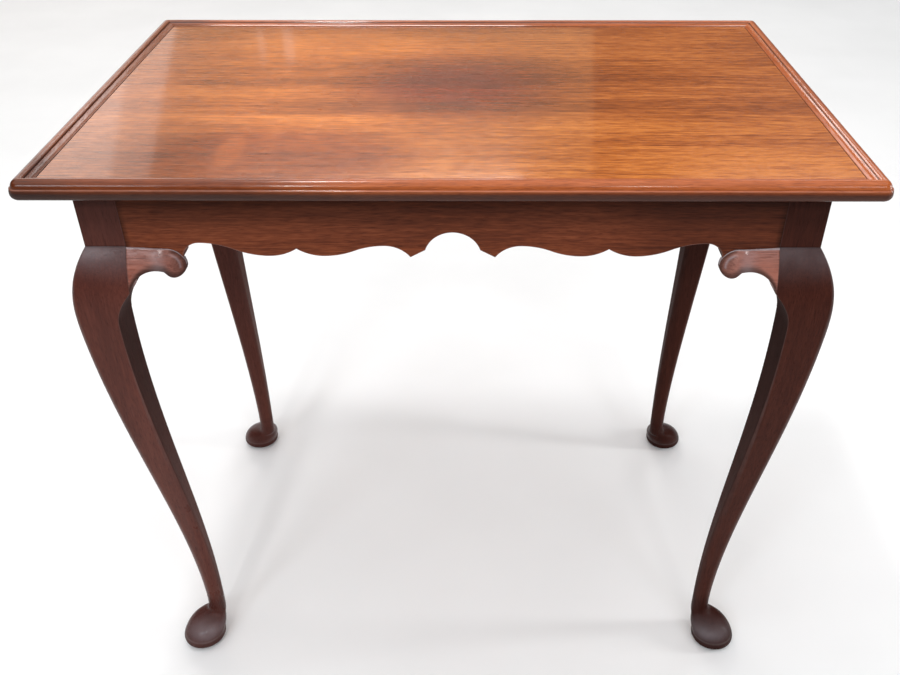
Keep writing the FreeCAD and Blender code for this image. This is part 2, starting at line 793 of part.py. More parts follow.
def screw(name, length):
    """A round-headed screw, its head's seat at z = 0 and its point upwards."""
    core, head = size("screw_diameter") / 2, size("screw_head_diameter") / 2
    head_height, point = size("screw_head_height"), size("screw_point")
    bend = math.sqrt(0.5)
    profile = [
        arc(Vector(0, -head_height), Vector(head * bend, -head_height * bend), Vector(head, 0)),
        line(Vector(head, 0), Vector(core, 0)),
        line(Vector(core, 0), Vector(core, length - point)),
        line(Vector(core, length - point), Vector(0, length)),
        line(Vector(0, length), Vector(0, -head_height)),
    ]
    return turned(name, profile)


# Corner blocks across the frame's inner corners, each with two screws


def corner_screw_spots():
    """The two screws of one block in the corner's frame: seat of the head, turned to the apron."""
    along = size("post_side") + size("corner_screw_reach")
    seat = size("apron_thickness") + size("corner_screw_grip")
    height = place("corner_block_base") + size("corner_block_height") / 2
    to_front = Rotation(Vector(0, 0, 1), Vector(0, -1, 0))
    to_side = Rotation(Vector(0, 0, 1), Vector(-1, 0, 0))
    return [Placement(Vector(along, seat, height), to_front), Placement(Vector(seat, along, height), to_side)]


def corner_block(corner):
    name = f"corner_block_{corner}"
    wall = size("apron_thickness")
    near = 2 * size("post_side") + size("corner_block_clear") - wall
    far = near + size("corner_block_width") * math.sqrt(2)
    body = doc.addObject("PartDesign::Body", name)
    outline = polygon([Vector(near, wall), Vector(far, wall), Vector(wall, far), Vector(wall, near)])
    base = sketch_in(body, f"{name}_outline", "XY_Plane", outline, "Places.corner_block_base")
    pad(body, f"{name}_brace", base, "Sizes.corner_block_height")
    along = size("post_side") + size("corner_screw_reach")
    height = place("corner_block_base") + size("corner_block_height") / 2
    shank_radius = size("screw_diameter") / 2
    head_radius = size("screw_head_diameter") / 2 + size("head_clearance")
    seat_depth = "(Sizes.apron_thickness + Sizes.corner_screw_grip)"
    holes = (("shank", shank_radius, "Sizes.apron_thickness"), ("head", head_radius, seat_depth))
    for role, label in (("XZ_Plane", "front"), ("YZ_Plane", "side")):
        reverse = role == "YZ_Plane"
        sign = "" if reverse else "-"
        for part, radius, start in holes:
            ring = [Part.Circle(Vector(along, height), Vector(0, 0, 1), radius)]
            hole = sketch_in(body, f"{name}_{label}_{part}_line", role, ring, f"{sign}{start}")
            pocket(body, f"{name}_{label}_{part}_hole", hole, "Sizes.corner_block_width * 2", reverse)
    body.Placement = corner_placement(corner)
    keep(name, body)


for corner in CORNERS:
    corner_block(corner)

corner_screw = screw("corner_screw", size("corner_screw_length"))
corner_screws = [
    moved(corner_screw.Shape, corner_placement(corner).multiply(spot))
    for corner in CORNERS
    for spot in corner_screw_spots()
]
keep("corner_block_screws", fixed("corner_block_screws", Part.makeCompound(corner_screws)))

# Buttons: small blocks whose tongues sit in the aprons' grooves, screwed up into the boards


def button(name, spot):
    body = doc.addObject("PartDesign::Body", name)
    half = size("button_width") / 2
    outline = rectangle(-half, 0, half, size("button_length"))
    block = sketch_in(body, f"{name}_outline", "XY_Plane", outline, "Places.button_base")
    pad(body, f"{name}_block", block, "Places.top_underside - Places.button_base")
    tongue = rectangle(-half, -size("button_tongue"), half, 0)
    tongue_sketch = sketch_in(body, f"{name}_tongue_line", "XY_Plane", tongue, "Places.button_base")
    pad(body, f"{name}_tongue", tongue_sketch, "Sizes.button_tongue_thickness")
    ring = [Part.Circle(Vector(0, size("button_screw_inset")), Vector(0, 0, 1), size("screw_diameter") / 2)]
    pocket(body, f"{name}_hole", sketch_in(body, f"{name}_hole_line", "XY_Plane", ring))
    body.Placement = spot
    keep(name, body)


for label, spot in button_spots().items():
    button(f"top_button_{label}", spot)

button_grip = place("top_underside") - place("button_base")
button_screw = screw("button_screw", button_grip + size("button_screw_hold"))
seat = Placement(Vector(0, size("button_screw_inset"), place("button_base")), Rotation())
button_screws = [moved(button_screw.Shape, spot.multiply(seat)) for spot in button_spots().values()]
keep("top_button_screws", fixed("top_button_screws", Part.makeCompound(button_screws)))

# Glides under the pad feet, each held by a nail


def glide(corner):
    name = f"foot_glide_{corner}"
    radius, edge, thick = size("glide_diameter") / 2, size("glide_edge"), size("glide_thickness")
    bore, seat_height = size("nail_diameter") / 2, thick - size("nail_hold")
    near = 1 - math.sqrt(0.5)
    profile = [
        line(Vector(0, 0), Vector(radius - edge, 0)),
        arc(Vector(radius - edge, 0), Vector(radius - edge * near, edge * near), Vector(radius, edge)),
        line(Vector(radius, edge), Vector(radius, thick)),
        line(Vector(radius, thick), Vector(bore, thick)),
        line(Vector(bore, thick), Vector(bore, seat_height)),
        line(Vector(bore, seat_height), Vector(0, seat_height)),
        line(Vector(0, seat_height), Vector(0, 0)),
    ]
    body = turned(name, profile)
    middle = Vector(size("pad_set_in"), size("pad_set_in"), 0)
    body.Placement = corner_placement(corner).multiply(Placement(middle, Rotation()))
    keep(name, body)


for corner in CORNERS:
    glide(corner)

nail_seat = Vector(size("pad_set_in"), size("pad_set_in"), size("glide_thickness") - size("nail_hold"))
nail = Part.makeCylinder(size("nail_diameter") / 2, size("nail_length"), nail_seat)
nails = [moved(nail, corner_placement(corner)) for corner in CORNERS]
keep("glide_nails", fixed("glide_nails", Part.makeCompound(nails)))

# Every piece is looked at before any file is written

doc.recompute()
for item in doc.Objects:
    if "Invalid" in item.State or "Error" in item.State:
        raise RuntimeError(f"{item.Name} could not be built: {item.State}")
for name, piece in nodes.items():
    if piece.Shape.isNull() or not piece.Shape.isValid():
        raise RuntimeError(f"{name} has no valid shape")
for name, piece in nodes.items():
    piece.Shape.exportStep(f"parts/{name}.step")
print(len(nodes), "pieces written")
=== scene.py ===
# %% [markdown]
# # A tray top tea table
#
# A tea table of the cabriole kind: a flat mahogany field with a raised, moulded rim that keeps
# the cups from sliding off, a scalloped apron under it, and four S-shaped legs that end in
# rounded pad feet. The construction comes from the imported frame, in metres, with the origin on
# the floor under the middle of the top. Boards, corner blocks, buttons, glides and fasteners keep
# their solids. The rim, the aprons, the legs and the knee blocks are worked out again here as
# fine surfaces, because a shaper and a rasp leave soft edges that a plain solid doesn't have.

import math

import bpy
import numpy as np
from mathutils import Matrix, Vector


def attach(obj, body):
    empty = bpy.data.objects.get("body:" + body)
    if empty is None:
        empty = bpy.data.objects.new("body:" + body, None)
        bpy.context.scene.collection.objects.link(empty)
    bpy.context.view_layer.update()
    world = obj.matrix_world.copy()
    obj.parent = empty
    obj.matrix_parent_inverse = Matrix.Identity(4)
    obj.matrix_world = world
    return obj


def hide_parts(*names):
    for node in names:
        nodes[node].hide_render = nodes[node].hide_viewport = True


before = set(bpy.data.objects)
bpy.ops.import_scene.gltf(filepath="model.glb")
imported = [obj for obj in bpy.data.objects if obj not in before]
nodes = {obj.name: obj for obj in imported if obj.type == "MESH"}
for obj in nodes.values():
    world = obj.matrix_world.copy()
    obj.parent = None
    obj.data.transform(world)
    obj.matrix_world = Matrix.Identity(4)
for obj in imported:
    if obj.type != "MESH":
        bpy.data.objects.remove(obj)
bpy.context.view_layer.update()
print("nodes in the frame:", len(nodes))

# %% [markdown]
# ## The camera
#
# The photograph was taken standing in front of the table and looking about 35 degrees down. A
# camera could be placed by eye, but its place was worked out from the table's outline, the
# corners of the rim, the posts and the feet, so the render can be laid over the photograph.
# Blender's camera looks along its own -Z, so the three axes below become the columns of its
# matrix. The picture was cropped a little off centre, and the small shift does the same here.

# %% Camera at the photograph's place
CAMERA_SPOT = Vector((0.0210, -0.9470, 1.0140))
CAMERA_DEGREES = (-0.130, 34.439, 0.030)
LENS, SENSOR_WIDTH = 36.62, 36
SHIFT_X, SHIFT_Y = -0.0259, -0.0158

yaw, pitch, roll = (math.radians(angle) for angle in CAMERA_DEGREES)
level_part = math.cos(pitch)
forward = Vector((math.sin(yaw) * level_part, math.cos(yaw) * level_part, -math.sin(pitch)))
level = Vector((math.cos(yaw), -math.sin(yaw), 0))
upward = level.cross(forward)
across = level * math.cos(roll) + upward * math.sin(roll)
upright = upward * math.cos(roll) - level * math.sin(roll)

camera = bpy.data.objects.new("camera", bpy.data.cameras.new("camera"))
bpy.context.collection.objects.link(camera)
camera.data.sensor_width = SENSOR_WIDTH
camera.data.lens = LENS
camera.data.shift_x = SHIFT_X
camera.data.shift_y = SHIFT_Y
axes = Matrix((across, upright, -forward)).transposed().to_4x4()
camera.matrix_world = Matrix.Translation(CAMERA_SPOT) @ axes
bpy.context.scene.camera = camera
print("camera looks along", [round(value, 3) for value in forward])

# %% [markdown]
# ## From a grid of points to a mesh
#
# Every new piece here is a tube: a ring of points that is carried along the piece and changes on
# the way. The ring is one direction of a grid, the stations along the piece are the other, and
# numpy fills the whole grid at once. One helper then joins neighbouring points with four-sided
# faces, fills the first and the last ring, and turns everything outwards. Extra numbers per
# point, such as how worn an edge is, travel with the mesh as attributes for the materials. They
# are called marks, and two simple curves are enough to draw them.

# %% Helper that makes a piece from rings
MM = 0.001
CREASE = math.radians(32)


def piece_from_rings(name, rings, marks):
    """Joins rings (stations x points x 3, in millimetres) into a closed tube.

    Point j of station i is joined to points j and j + 1 of station i + 1, and the last point of a
    ring to its first. The enclosed volume, one third of the sum of face centre times face normal,
    is positive when the faces point outwards, and otherwise every face is turned round.
    """
    stations, points = rings.shape[:2]
    index = np.arange(stations * points).reshape(stations, points)
    after = np.roll(index, -1, axis=1)
    quads = np.stack([index[:-1], after[:-1], after[1:], index[1:]], axis=-1).reshape(-1, 4)
    flat = rings.reshape(-1, 3) * MM
    a, b, c, d = (flat[quads[:, corner]] for corner in range(4))
    outward = np.sum(np.cross(c - a, d - b) * (a + b + c + d - 4 * flat.mean(axis=0)))
    faces = quads.tolist() + [index[0, ::-1].tolist(), index[-1].tolist()]
    if outward < 0:
        faces = [face[::-1] for face in faces]
    mesh = bpy.data.meshes.new(name)
    mesh.from_pydata(flat.tolist(), [], faces)
    mesh.polygons.foreach_set("use_smooth", np.ones(len(faces), dtype=bool))
    mesh.set_sharp_from_angle(angle=CREASE)
    for label, values in marks.items():
        layer = mesh.attributes.new(label, "FLOAT", "POINT")
        layer.data.foreach_set("value", np.broadcast_to(values, (stations, points)).ravel())
    piece = bpy.data.objects.new(name, mesh)
    bpy.context.collection.objects.link(piece)
    return piece


def put_in_place(piece, node, material):
    """Hangs a finished piece on the frame in the place of its solid."""
    piece.data.materials.append(material)
    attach(piece, "root")
    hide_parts(node)


# %% Curves for marks
def soft_step(value, middle, width):
    """Rises from 0 to 1 through middle: one over one plus e to the distance short of it over width."""
    return 1 / (1 + np.exp((middle - value) / width))


def bell(value, middle, spread):
    """One at middle, falling off as e to the minus squared distance over spread."""
    return np.exp(-((value - middle) ** 2) / spread)


# %% [markdown]
# ## Nodes for the finishes
#
# A finish is a small network of nodes. Most of them are noise textures, stretched far along the
# grain and hardly at all across it, which is what wood looks like. These helpers keep the
# networks short: each adds one node, fills its inputs and gives back its output.

# %% Helpers for material nodes
def new_finish(name):
    """An empty material with its Principled shader, and the tree to build in."""
    material = bpy.data.materials.new(name)
    material.use_nodes = True
    return material, material.node_tree, material.node_tree.nodes["Principled BSDF"]


def feed(tree, socket, value):
    """Links an output to an input, or sets the input's own value."""
    if isinstance(value, bpy.types.NodeSocket):
        tree.links.new(value, socket)
    else:
        socket.default_value = value


def calc(tree, operation, first, second, plus=0.0, clamp=False):
    """One step of arithmetic; only MULTIPLY_ADD uses the third number, plus."""
    node = tree.nodes.new("ShaderNodeMath")
    node.operation = operation
    node.use_clamp = clamp
    for socket, value in zip(node.inputs, (first, second, plus)):
        feed(tree, socket, value)
    return node.outputs[0]


def blend(tree, share, first, second, mode="MIX"):
    """Goes from the first colour to the second by a share, or multiplies them by that share."""
    node = tree.nodes.new("ShaderNodeMix")
    node.data_type = "RGBA"
    node.blend_type = mode
    feed(tree, node.inputs[0], share)
    feed(tree, node.inputs[6], first)
    feed(tree, node.inputs[7], second)
    return node.outputs[2]


def ramp(tree, value, stops):
    """A colour ramp; stops are (place, colour) or (place, grey)."""
    node = tree.nodes.new("ShaderNodeValToRGB")
    elements = node.color_ramp.elements
    while len(elements) < len(stops):
        elements.new(0.5)
    for element, (spot, colour) in zip(elements, stops):
        element.position = spot
        element.color = (*colour, 1) if isinstance(colour, tuple) else (colour, colour, colour, 1)
    feed(tree, node.inputs[0], value)
    return node.outputs[0]


def scaled(tree, vector, scale=(1, 1, 1), shift=(0, 0, 0), turn=(0, 0, 0)):
    """A place that is scaled, then turned, then shifted."""
    node = tree.nodes.new("ShaderNodeMapping")
    feed(tree, node.inputs["Vector"], vector)
    node.inputs["Location"].default_value = shift
    node.inputs["Rotation"].default_value = turn
    node.inputs["Scale"].default_value = scale
    return node.outputs[0]


def noise(tree, vector, stretch, detail=3.0, rough=0.55):
    """Noise with its own number of waves per metre along each axis."""
    node = tree.nodes.new("ShaderNodeTexNoise")
    feed(tree, node.inputs["Vector"], scaled(tree, vector, stretch))
    node.inputs["Scale"].default_value = 1.0
    node.inputs["Detail"].default_value = detail
    node.inputs["Roughness"].default_value = rough
    return node.outputs[0]


def object_place(tree):
    """Where a point lies in its object, in metres."""
    return tree.nodes.new("ShaderNodeTexCoord").outputs["Object"]


def mark(tree, name):
    """A number that the mesh carries for each point, and zero where it has none."""
    node = tree.nodes.new("ShaderNodeAttribute")
    node.attribute_name = name
    return node.outputs["Fac"]


def bump(tree, height, distance):
    """A fine relief: a height of one stands distance metres out."""
    node = tree.nodes.new("ShaderNodeBump")
    node.inputs["Strength"].default_value = 1.0
    node.inputs["Distance"].default_value = distance
    feed(tree, node.inputs["Height"], height)
    return node.outputs[0]


# %% [markdown]
# ## Polished mahogany
#
# Mahogany is a red-brown wood with interlocked grain: broad ribbons that run with the length,
# fine streaks inside them, and open pores that show as short dark dashes. The grain could be
# painted on a picture, but a solid pattern in Object coordinates runs through the piece as real
# grain does, so faces, ends and mouldings agree. The pattern is first turned so that the grain
# lies along its X, then a slow wave bends it a little.

# %% Grain and patches
GRAIN_TURNS = {"x": (0, 0, 0), "y": (0, 0, math.pi / 2), "z": (0, math.pi / 2, 0)}
RIBBON_SHARE, STREAK_SHARE, FLECK_SHARE, CLOUD_SHARE = 0.24, 0.26, 0.28, 0.22
TONE_STOPS = (0.41, 0.50, 0.59)


def grain_place(tree, place, grain, seed):
    """The place with the grain along X: once straight, and once bent by a slow wave."""
    along = scaled(tree, place, shift=seed, turn=GRAIN_TURNS[grain])
    wave = calc(tree, "SUBTRACT", noise(tree, along, (1.7, 6, 6), 2), 0.5)
    bend = tree.nodes.new("ShaderNodeCombineXYZ")
    feed(tree, bend.inputs[1], calc(tree, "MULTIPLY", wave, 0.03))
    feed(tree, bend.inputs[2], calc(tree, "MULTIPLY", wave, 0.02))
    bent = tree.nodes.new("ShaderNodeVectorMath")
    feed(tree, bent.inputs[0], along)
    feed(tree, bent.inputs[1], bend.outputs[0])
    return along, bent.outputs[0]


def grain_tone(tree, along, wood, flecks, ribbon):
    """The sum of ribbons, streaks, flecks and slow clouds, each times its share."""
    ribbons = noise(tree, wood, (1.1, ribbon, ribbon), 2.5, 0.5)
    streaks = noise(tree, wood, (9, 300, 300), 3, 0.55)
    clouds = noise(tree, along, (3.2, 6, 6), 2, 0.5)
    tone = calc(tree, "MULTIPLY", ribbons, RIBBON_SHARE)
    for layer, share in ((streaks, STREAK_SHARE), (flecks, FLECK_SHARE), (clouds, CLOUD_SHARE)):
        tone = calc(tree, "ADD", tone, calc(tree, "MULTIPLY", layer, share))
    return tone


def tint_patch(tree, place, onto, tint, centre, reach, full=0.5, amount=1.0):
    """A patch that tints the colour, for wood tone and for painted shade and reflection: a smooth step of
    one minus the distance over its reach.

    Before the step that share is multiplied by slow noise, so the patch has no drawn edge. It has
    its whole amount where the product passes full.
    """
    scale = tuple(1 / length for length in reach)
    shift = tuple(-spot * factor for spot, factor in zip(centre, scale))
    ball = tree.nodes.new("ShaderNodeTexGradient")
    ball.gradient_type = "SPHERICAL"
    feed(tree, ball.inputs[0], scaled(tree, place, scale, shift))
    ragged = calc(tree, "MULTIPLY_ADD", noise(tree, place, (5, 22, 22), 2), 0.4, plus=0.8)
    step = tree.nodes.new("ShaderNodeMapRange")
    step.interpolation_type = "SMOOTHSTEP"
    feed(tree, step.inputs["Value"], calc(tree, "MULTIPLY", ball.outputs[1], ragged))
    step.inputs["From Max"].default_value = full
    step.inputs["To Max"].default_value = amount
    return blend(tree, step.outputs[0], onto, (*tint, 1), "MULTIPLY")


# %% [markdown]
# ## Polish, marks of use, painted shade and painted sheen
#
# Old polish is glossy but not even, so the roughness wanders and the pores dip. Three marks change the
# colour. Wear makes handled edges paler, and on the rim's ledge and the blocks' top edges it also paints
# a highlight line. Grime and shade is nearly black and matt: dirt in the joints, and painted shade in
# creases, in recesses, under overhangs and edges, and on sides turned from the light. Burnish and sheen
# is a painted sheen on knees, feet and blocks: greyer and brighter, with a lower roughness.

# %% The mahogany finish
PORE_DEPTH = 0.00006
PORE_TINT = (0.36, 0.26, 0.22, 1)
GRIME_AND_SHADE_COLOUR = (0.012, 0.006, 0.005, 1)
PAINTED_SHEEN_COLOUR = (0.48, 0.44, 0.47, 1)


def used_colour(tree, place, colour, light):
    """The colour after wear, dirt and painted shade, and painted sheen, and how much sheen is painted at
    each place.
    """
    # Wear makes edges paler; on the rim's ledge and the blocks' top edges it also paints a highlight.
    rubbed = calc(tree, "MULTIPLY", mark(tree, "wear"), noise(tree, place, (60, 60, 60), 3))
    pale = tuple(0.55 * value + 0.12 for value in light)
    colour = blend(tree, calc(tree, "MULTIPLY", rubbed, 0.7, clamp=True), colour, (*pale, 1))
    # The grime and shade mark blends towards near black: dirt at the joints, painted shade in the other
    # places.
    dirt_and_shade = calc(tree, "MULTIPLY", mark(tree, "grime_and_shade"), 0.8, clamp=True)
    colour = blend(tree, dirt_and_shade, colour, GRIME_AND_SHADE_COLOUR)
    # Painted sheen: a greyer, brighter colour where the sheen mark is set.
    uneven = noise(tree, place, (25, 25, 25), 3)
    burnish_and_sheen = calc(tree, "MULTIPLY", mark(tree, "burnish_and_sheen"), uneven, clamp=True)
    return blend(tree, burnish_and_sheen, colour, PAINTED_SHEEN_COLOUR), burnish_and_sheen


def polish(tree, place, gloss, flecks, pores, burnish_and_sheen):
    """Roughness about gloss, more on pores and on grime and shade, less where sheen is painted, and the
    fine relief.
    """
    smudges = noise(tree, place, (9, 9, 9), 4, 0.6)
    rough = calc(tree, "MULTIPLY_ADD", smudges, 0.22, plus=gloss - 0.11)
    rough = calc(tree, "ADD", rough, calc(tree, "MULTIPLY", pores, 0.12))
    rough = calc(tree, "ADD", rough, calc(tree, "MULTIPLY", mark(tree, "grime_and_shade"), 0.6))
    rough = calc(tree, "SUBTRACT", rough, calc(tree, "MULTIPLY", burnish_and_sheen, 0.6), clamp=True)
    height = calc(tree, "SUBTRACT", calc(tree, "MULTIPLY", flecks, 0.4), pores)
    height = calc(tree, "ADD", height, calc(tree, "MULTIPLY", smudges, 0.8))
    return rough, bump(tree, height, PORE_DEPTH)


def mahogany(name, grain, tones, seed, ribbon, gloss, shine, coat=0.0, coat_blur=0.07,
             patches=(), fleck=(65, 650)):
    """Polished wood: a grain tone turned into three colours, then patches, pores and marks of use, with
    painted shade and painted sheen among them.

    Ribbon is the number of ribbons per metre across the grain, and fleck the number of flecks
    along it and across it. A coat is a clear second layer of polish.
    """
    material, tree, shader = new_finish(name)
    place = object_place(tree)
    along, wood = grain_place(tree, place, grain, seed)
    flecks = noise(tree, wood, (fleck[0], fleck[1], fleck[1]), 2, 0.5)
    tone = grain_tone(tree, along, wood, flecks, ribbon)
    colour = ramp(tree, tone, list(zip(TONE_STOPS, tones)))
    for patch in patches:
        colour = tint_patch(tree, place, onto=colour, **patch)
    pores = ramp(tree, noise(tree, wood, (90, 1300, 1300), 1), [(0.56, 0.0), (0.68, 1.0)])
    colour = blend(tree, calc(tree, "MULTIPLY", pores, 0.45), colour, PORE_TINT, "MULTIPLY")
    colour, burnish_and_sheen = used_colour(tree, place, colour, light=tones[-1])
    rough, relief = polish(tree, place, gloss, flecks, pores, burnish_and_sheen)
    feed(tree, shader.inputs["Base Color"], colour)
    feed(tree, shader.inputs["Roughness"], rough)
    feed(tree, shader.inputs["Normal"], relief)
    shader.inputs["Specular IOR Level"].default_value = shine
    shader.inputs["Coat Weight"].default_value = coat
    shader.inputs["Coat Roughness"].default_value = coat_blur
    return material


# %% [markdown]
# ## The field
#
# The field is three boards glued edge to edge, flat and warm orange, with the grain along the length.
# Their solids are right as they are, so they only get a finish. The boards match like one plank, so they
# share their grain, and each seed only moves it a little along. Broad patches follow the photograph:
# paler wood at the left, a purplish patch in the middle that is a painted dark reflection, a dark flame
# with one pale bar near the front left, and duller wood towards the front right, the left end and the
# back.

# %% Patches of the field
FIELD_TONES = ((0.22, 0.052, 0.009), (0.42, 0.113, 0.021), (0.64, 0.210, 0.046))
FIELD_LEVEL, PATCH_DEPTH = 0.66, 0.4


def field_patch(tint, centre, reach, **more):
    """A patch of the field, deep enough to reach through the boards."""
    return {"tint": tint, "centre": (*centre, FIELD_LEVEL), "reach": (*reach, PATCH_DEPTH), **more}


FIELD_PATCHES = (
    field_patch((1.24, 1.18, 1.00), (-0.17, 0.04), (0.30, 0.28), full=0.6),
    # A painted dark reflection: the purplish patch in the middle.
    field_patch((0.44, 0.22, 0.34), (0.0, 0.01), (0.18, 0.14), full=0.8),
    field_patch((0.66, 0.50, 0.42), (-0.17, -0.18), (0.17, 0.09)),
    field_patch((1.50, 1.70, 1.60), (-0.205, -0.165), (0.016, 0.045), amount=0.8),
    field_patch((0.97, 0.94, 0.80), (0.27, -0.17), (0.32, 0.18), full=0.7),
    field_patch((0.72, 0.70, 0.80), (-0.37, 0.0), (0.20, 0.50), full=0.6),
    field_patch((0.56, 0.46, 0.42), (-0.06, 0.24), (0.42, 0.10), full=0.7),
)
print("patches on the field:", len(FIELD_PATCHES))

# %% Boards of the field
BOARD_SEEDS = {"front": (2.0, 0.7, 0.3), "middle": (2.1, 0.7, 0.3), "back": (2.2, 0.7, 0.3)}

for board, seed in BOARD_SEEDS.items():
    finish = mahogany(
        f"field_{board}", "x", FIELD_TONES, seed, ribbon=22.0, gloss=0.26, shine=0.1, coat=0.8,
        patches=FIELD_PATCHES, fleck=(55, 420),
    )
    solid = nodes[f"top_board_{board}"]
    solid.data.materials.clear()
    solid.data.materials.append(finish)
print("boards finished:", len(BOARD_SEEDS))

# %% [markdown]
# ## The tray rim
#
# The rim is a moulding that was run on a shaper and mitred at the corners: a bullnose outside,
# rounded up from a sloping underside, a small ledge, an ovolo up to the crest, a bead, a cove and
# a fillet down to the field. A profile carried along a path is the direct way to make it. Every
# arc of the profile starts in a known direction and ends at a known point, which settles its
# circle. The path is the table's edge with slightly rounded corners, drawn separately for each
# inset, so the mitres come by themselves.

# %% Arcs and the moulding's profile
def arc_from(start, heading, end, count):
    """Points on the circle that leaves start in the direction heading and ends at end.

    With the angle between heading and chord called a, the point at share t of the arc lies at
    the distance chord * sin(a t) / sin(a) from start, in the heading turned by a t.
    """
    start, heading, end = (np.asarray(value, dtype=float) for value in (start, heading, end))
    chord = end - start
    angle = math.atan2(heading[0] * chord[1] - heading[1] * chord[0], heading @ chord)
    turn = angle * np.linspace(0, 1, count)
    reach = math.hypot(*chord) * np.sin(turn) / math.sin(angle)
    ahead = heading[0] * np.cos(turn) - heading[1] * np.sin(turn)
    aside = heading[0] * np.sin(turn) + heading[1] * np.cos(turn)
    return start + reach[:, None] * np.stack([ahead, aside], axis=1)


def straight(start, end, count):
    """Points at even distances on the line from start to end."""
    return np.linspace(start, end, count)


UP, DOWN, RIGHT, LEFT = (0, 1), (0, -1), (1, 0), (-1, 0)
rim_profile = np.concatenate(
    [
        straight((20.3, -20), (12.0, -20), 4),  # underside
        straight((10.8, -19.8), (4.6, -18.0), 4),  # slope up to the edge
        arc_from((0, -12.6), DOWN, (3.8, -17.8), 12)[::-1],  # lower bullnose
        arc_from((0, -12.6), UP, (0.8, -7.55), 10)[1:],  # upper bullnose
        straight((1.15, -7.3), (1.9, -7.2), 3),  # ledge
        straight((2.15, -7.0), (2.22, -6.75), 2),  # step
        arc_from((2.25, -6.5), (0.1, 0.995), (9.2, 0), 14),  # ovolo
        arc_from((9.2, 0), RIGHT, (12.6, -1.4), 8)[1:],  # bead
        straight((12.8, -1.7), (12.9, -2.1), 2),  # quirk
        arc_from((18.9, -4.0), LEFT, (13.0, -2.2), 9)[::-1],  # cove
        straight((19.1, -4.05), (20.0, -4.05), 3),  # fillet
        straight((20.2, -4.3), (20.3, -5.2), 2),  # down to the field
        straight((20.3, -8), (20.3, -18), 3),  # inner side
    ]
)
print("points round the moulding:", len(rim_profile))

# %% Sides of the rim from mitre to mitre
TOP_LENGTH, TOP_WIDTH, TABLE_HEIGHT = 762.0, 483.0, 673.0
CORNER_ROUND, LEAST_ROUND = 10.0, 0.25
ARC_STATIONS, RUN_STATIONS = 9, 59
SIDES = {"front": (0, -1), "back": (0, 1), "left": (-1, 0), "right": (1, 0)}


def rim_rings(half_run, outer_edge):
    """Stations along one side: a 45 degree arc, a straight run and another arc, for each inset.

    At inset e the arc has the radius max(R - e, 0.25) about a centre on the corner's diagonal,
    so all insets end on the mitre line. Returns (along, out, height) for every point.
    """
    inset, drop = rim_profile.T
    radius = np.maximum(CORNER_ROUND - inset, LEAST_ROUND)
    centre = half_run - inset - radius
    turn = np.radians(np.linspace(45, 0, ARC_STATIONS))[:, None]
    arc_along = centre + radius * np.sin(turn)
    arc_inward = inset + radius * (1 - np.cos(turn))
    share = np.linspace(1, -1, RUN_STATIONS + 2)[1:-1, None]
    run_inward = np.broadcast_to(inset, (RUN_STATIONS, len(inset)))
    along = np.concatenate([arc_along, centre * share, -arc_along[::-1]])
    inward = np.concatenate([arc_inward, run_inward, arc_inward[::-1]])
    height = np.broadcast_to(TABLE_HEIGHT + drop, along.shape)
    return along, outer_edge - inward, height


def on_side(side, along, out, height):
    """Points of one side of the table, along it and out from the middle, as (x, y, z)."""
    side_x, side_y = SIDES[side]
    if side_x == 0:
        return np.stack([along, side_y * out, height], axis=-1)
    return np.stack([side_x * out, along, height], axis=-1)


# %% Marks and finish of the rim
RIM_TONES = ((0.32, 0.076, 0.020), (0.42, 0.105, 0.030), (0.50, 0.135, 0.042))
RIM_COATS = {"front": 0.35, "back": 0.85, "left": 0.12, "right": 0.5}
RIM_PATCHES = (
    {"tint": (0.46, 0.42, 0.42), "centre": (-0.32, -0.24, 0.66), "reach": (0.26, 0.09, 0.2)},
    # Painted shade on the left rim.
    {"tint": (0.48, 0.50, 0.60), "centre": (-0.38, 0.05, 0.66), "reach": (0.10, 0.45, 0.2)},
    # Painted shade along the front bullnose at the right.
    {"tint": (0.6, 0.5, 0.45), "centre": (0.25, -0.24, 0.655), "reach": (0.5, 0.06, 0.013), "full": 0.4},
)
MITRE_GRIME = 0.8

inset, drop = rim_profile.T
# Wear on the crest, and on the ledge wear with a painted highlight line.
ledge_wear_and_highlight = bell(drop, -7.3, 0.5) * bell(inset, 1.0, 1.0)
crest_wear = 0.5 * bell(inset, 9.2, 3.0) * bell(drop, 0.0, 1.0)
# Painted shade in the quirk, on the inner side against the field, and down the bullnose to the underside.
quirk_shade = bell(inset, 12.9, 0.1) + (inset > 20.1)
underside_shade = np.clip((-drop - 7.6) / 3.5, 0, 1) ** 0.7 * (inset < 20)

for side, (side_x, side_y) in SIDES.items():
    half_run, edge = TOP_LENGTH / 2, TOP_WIDTH / 2
    if side_y == 0:
        half_run, edge = edge, half_run
    rings = on_side(side, *rim_rings(half_run, edge))
    mitre = np.zeros((len(rings), 1))
    mitre[[0, -1]] = MITRE_GRIME
    grime_and_shade = np.minimum(quirk_shade + underside_shade + mitre, 1)
    rim = piece_from_rings(f"rim_{side}", rings, {"wear": ledge_wear_and_highlight + crest_wear, "grime_and_shade": grime_and_shade})
    finish = mahogany(
        f"rim_{side}", "x" if side_x == 0 else "y", RIM_TONES, (side_x, side_y, 0.4), ribbon=60.0,
        gloss=0.24, shine=0.12, coat=RIM_COATS[side], coat_blur=0.11, patches=RIM_PATCHES,
    )
    put_in_place(rim, f"tray_rim_{side}", finish)
print("rim sides:", len(SIDES))

# %% [markdown]
# ## The aprons
#
# The aprons are boards on edge between the posts, sawn along their lower edge to a scalloped line: on the
# long sides a round arch in the middle between two drop points, then a hollow, two lobes with a cusp
# between them, and a hook that runs in behind the knee block. The line is a chain of arcs, so it is
# worked out once as points, and the board's section is carried along it, with the lower edges eased as a
# hand with sandpaper would leave them. Under the overhang of the top the boards are darkest, a painted
# shadow, and the eased undersides get painted shade too.

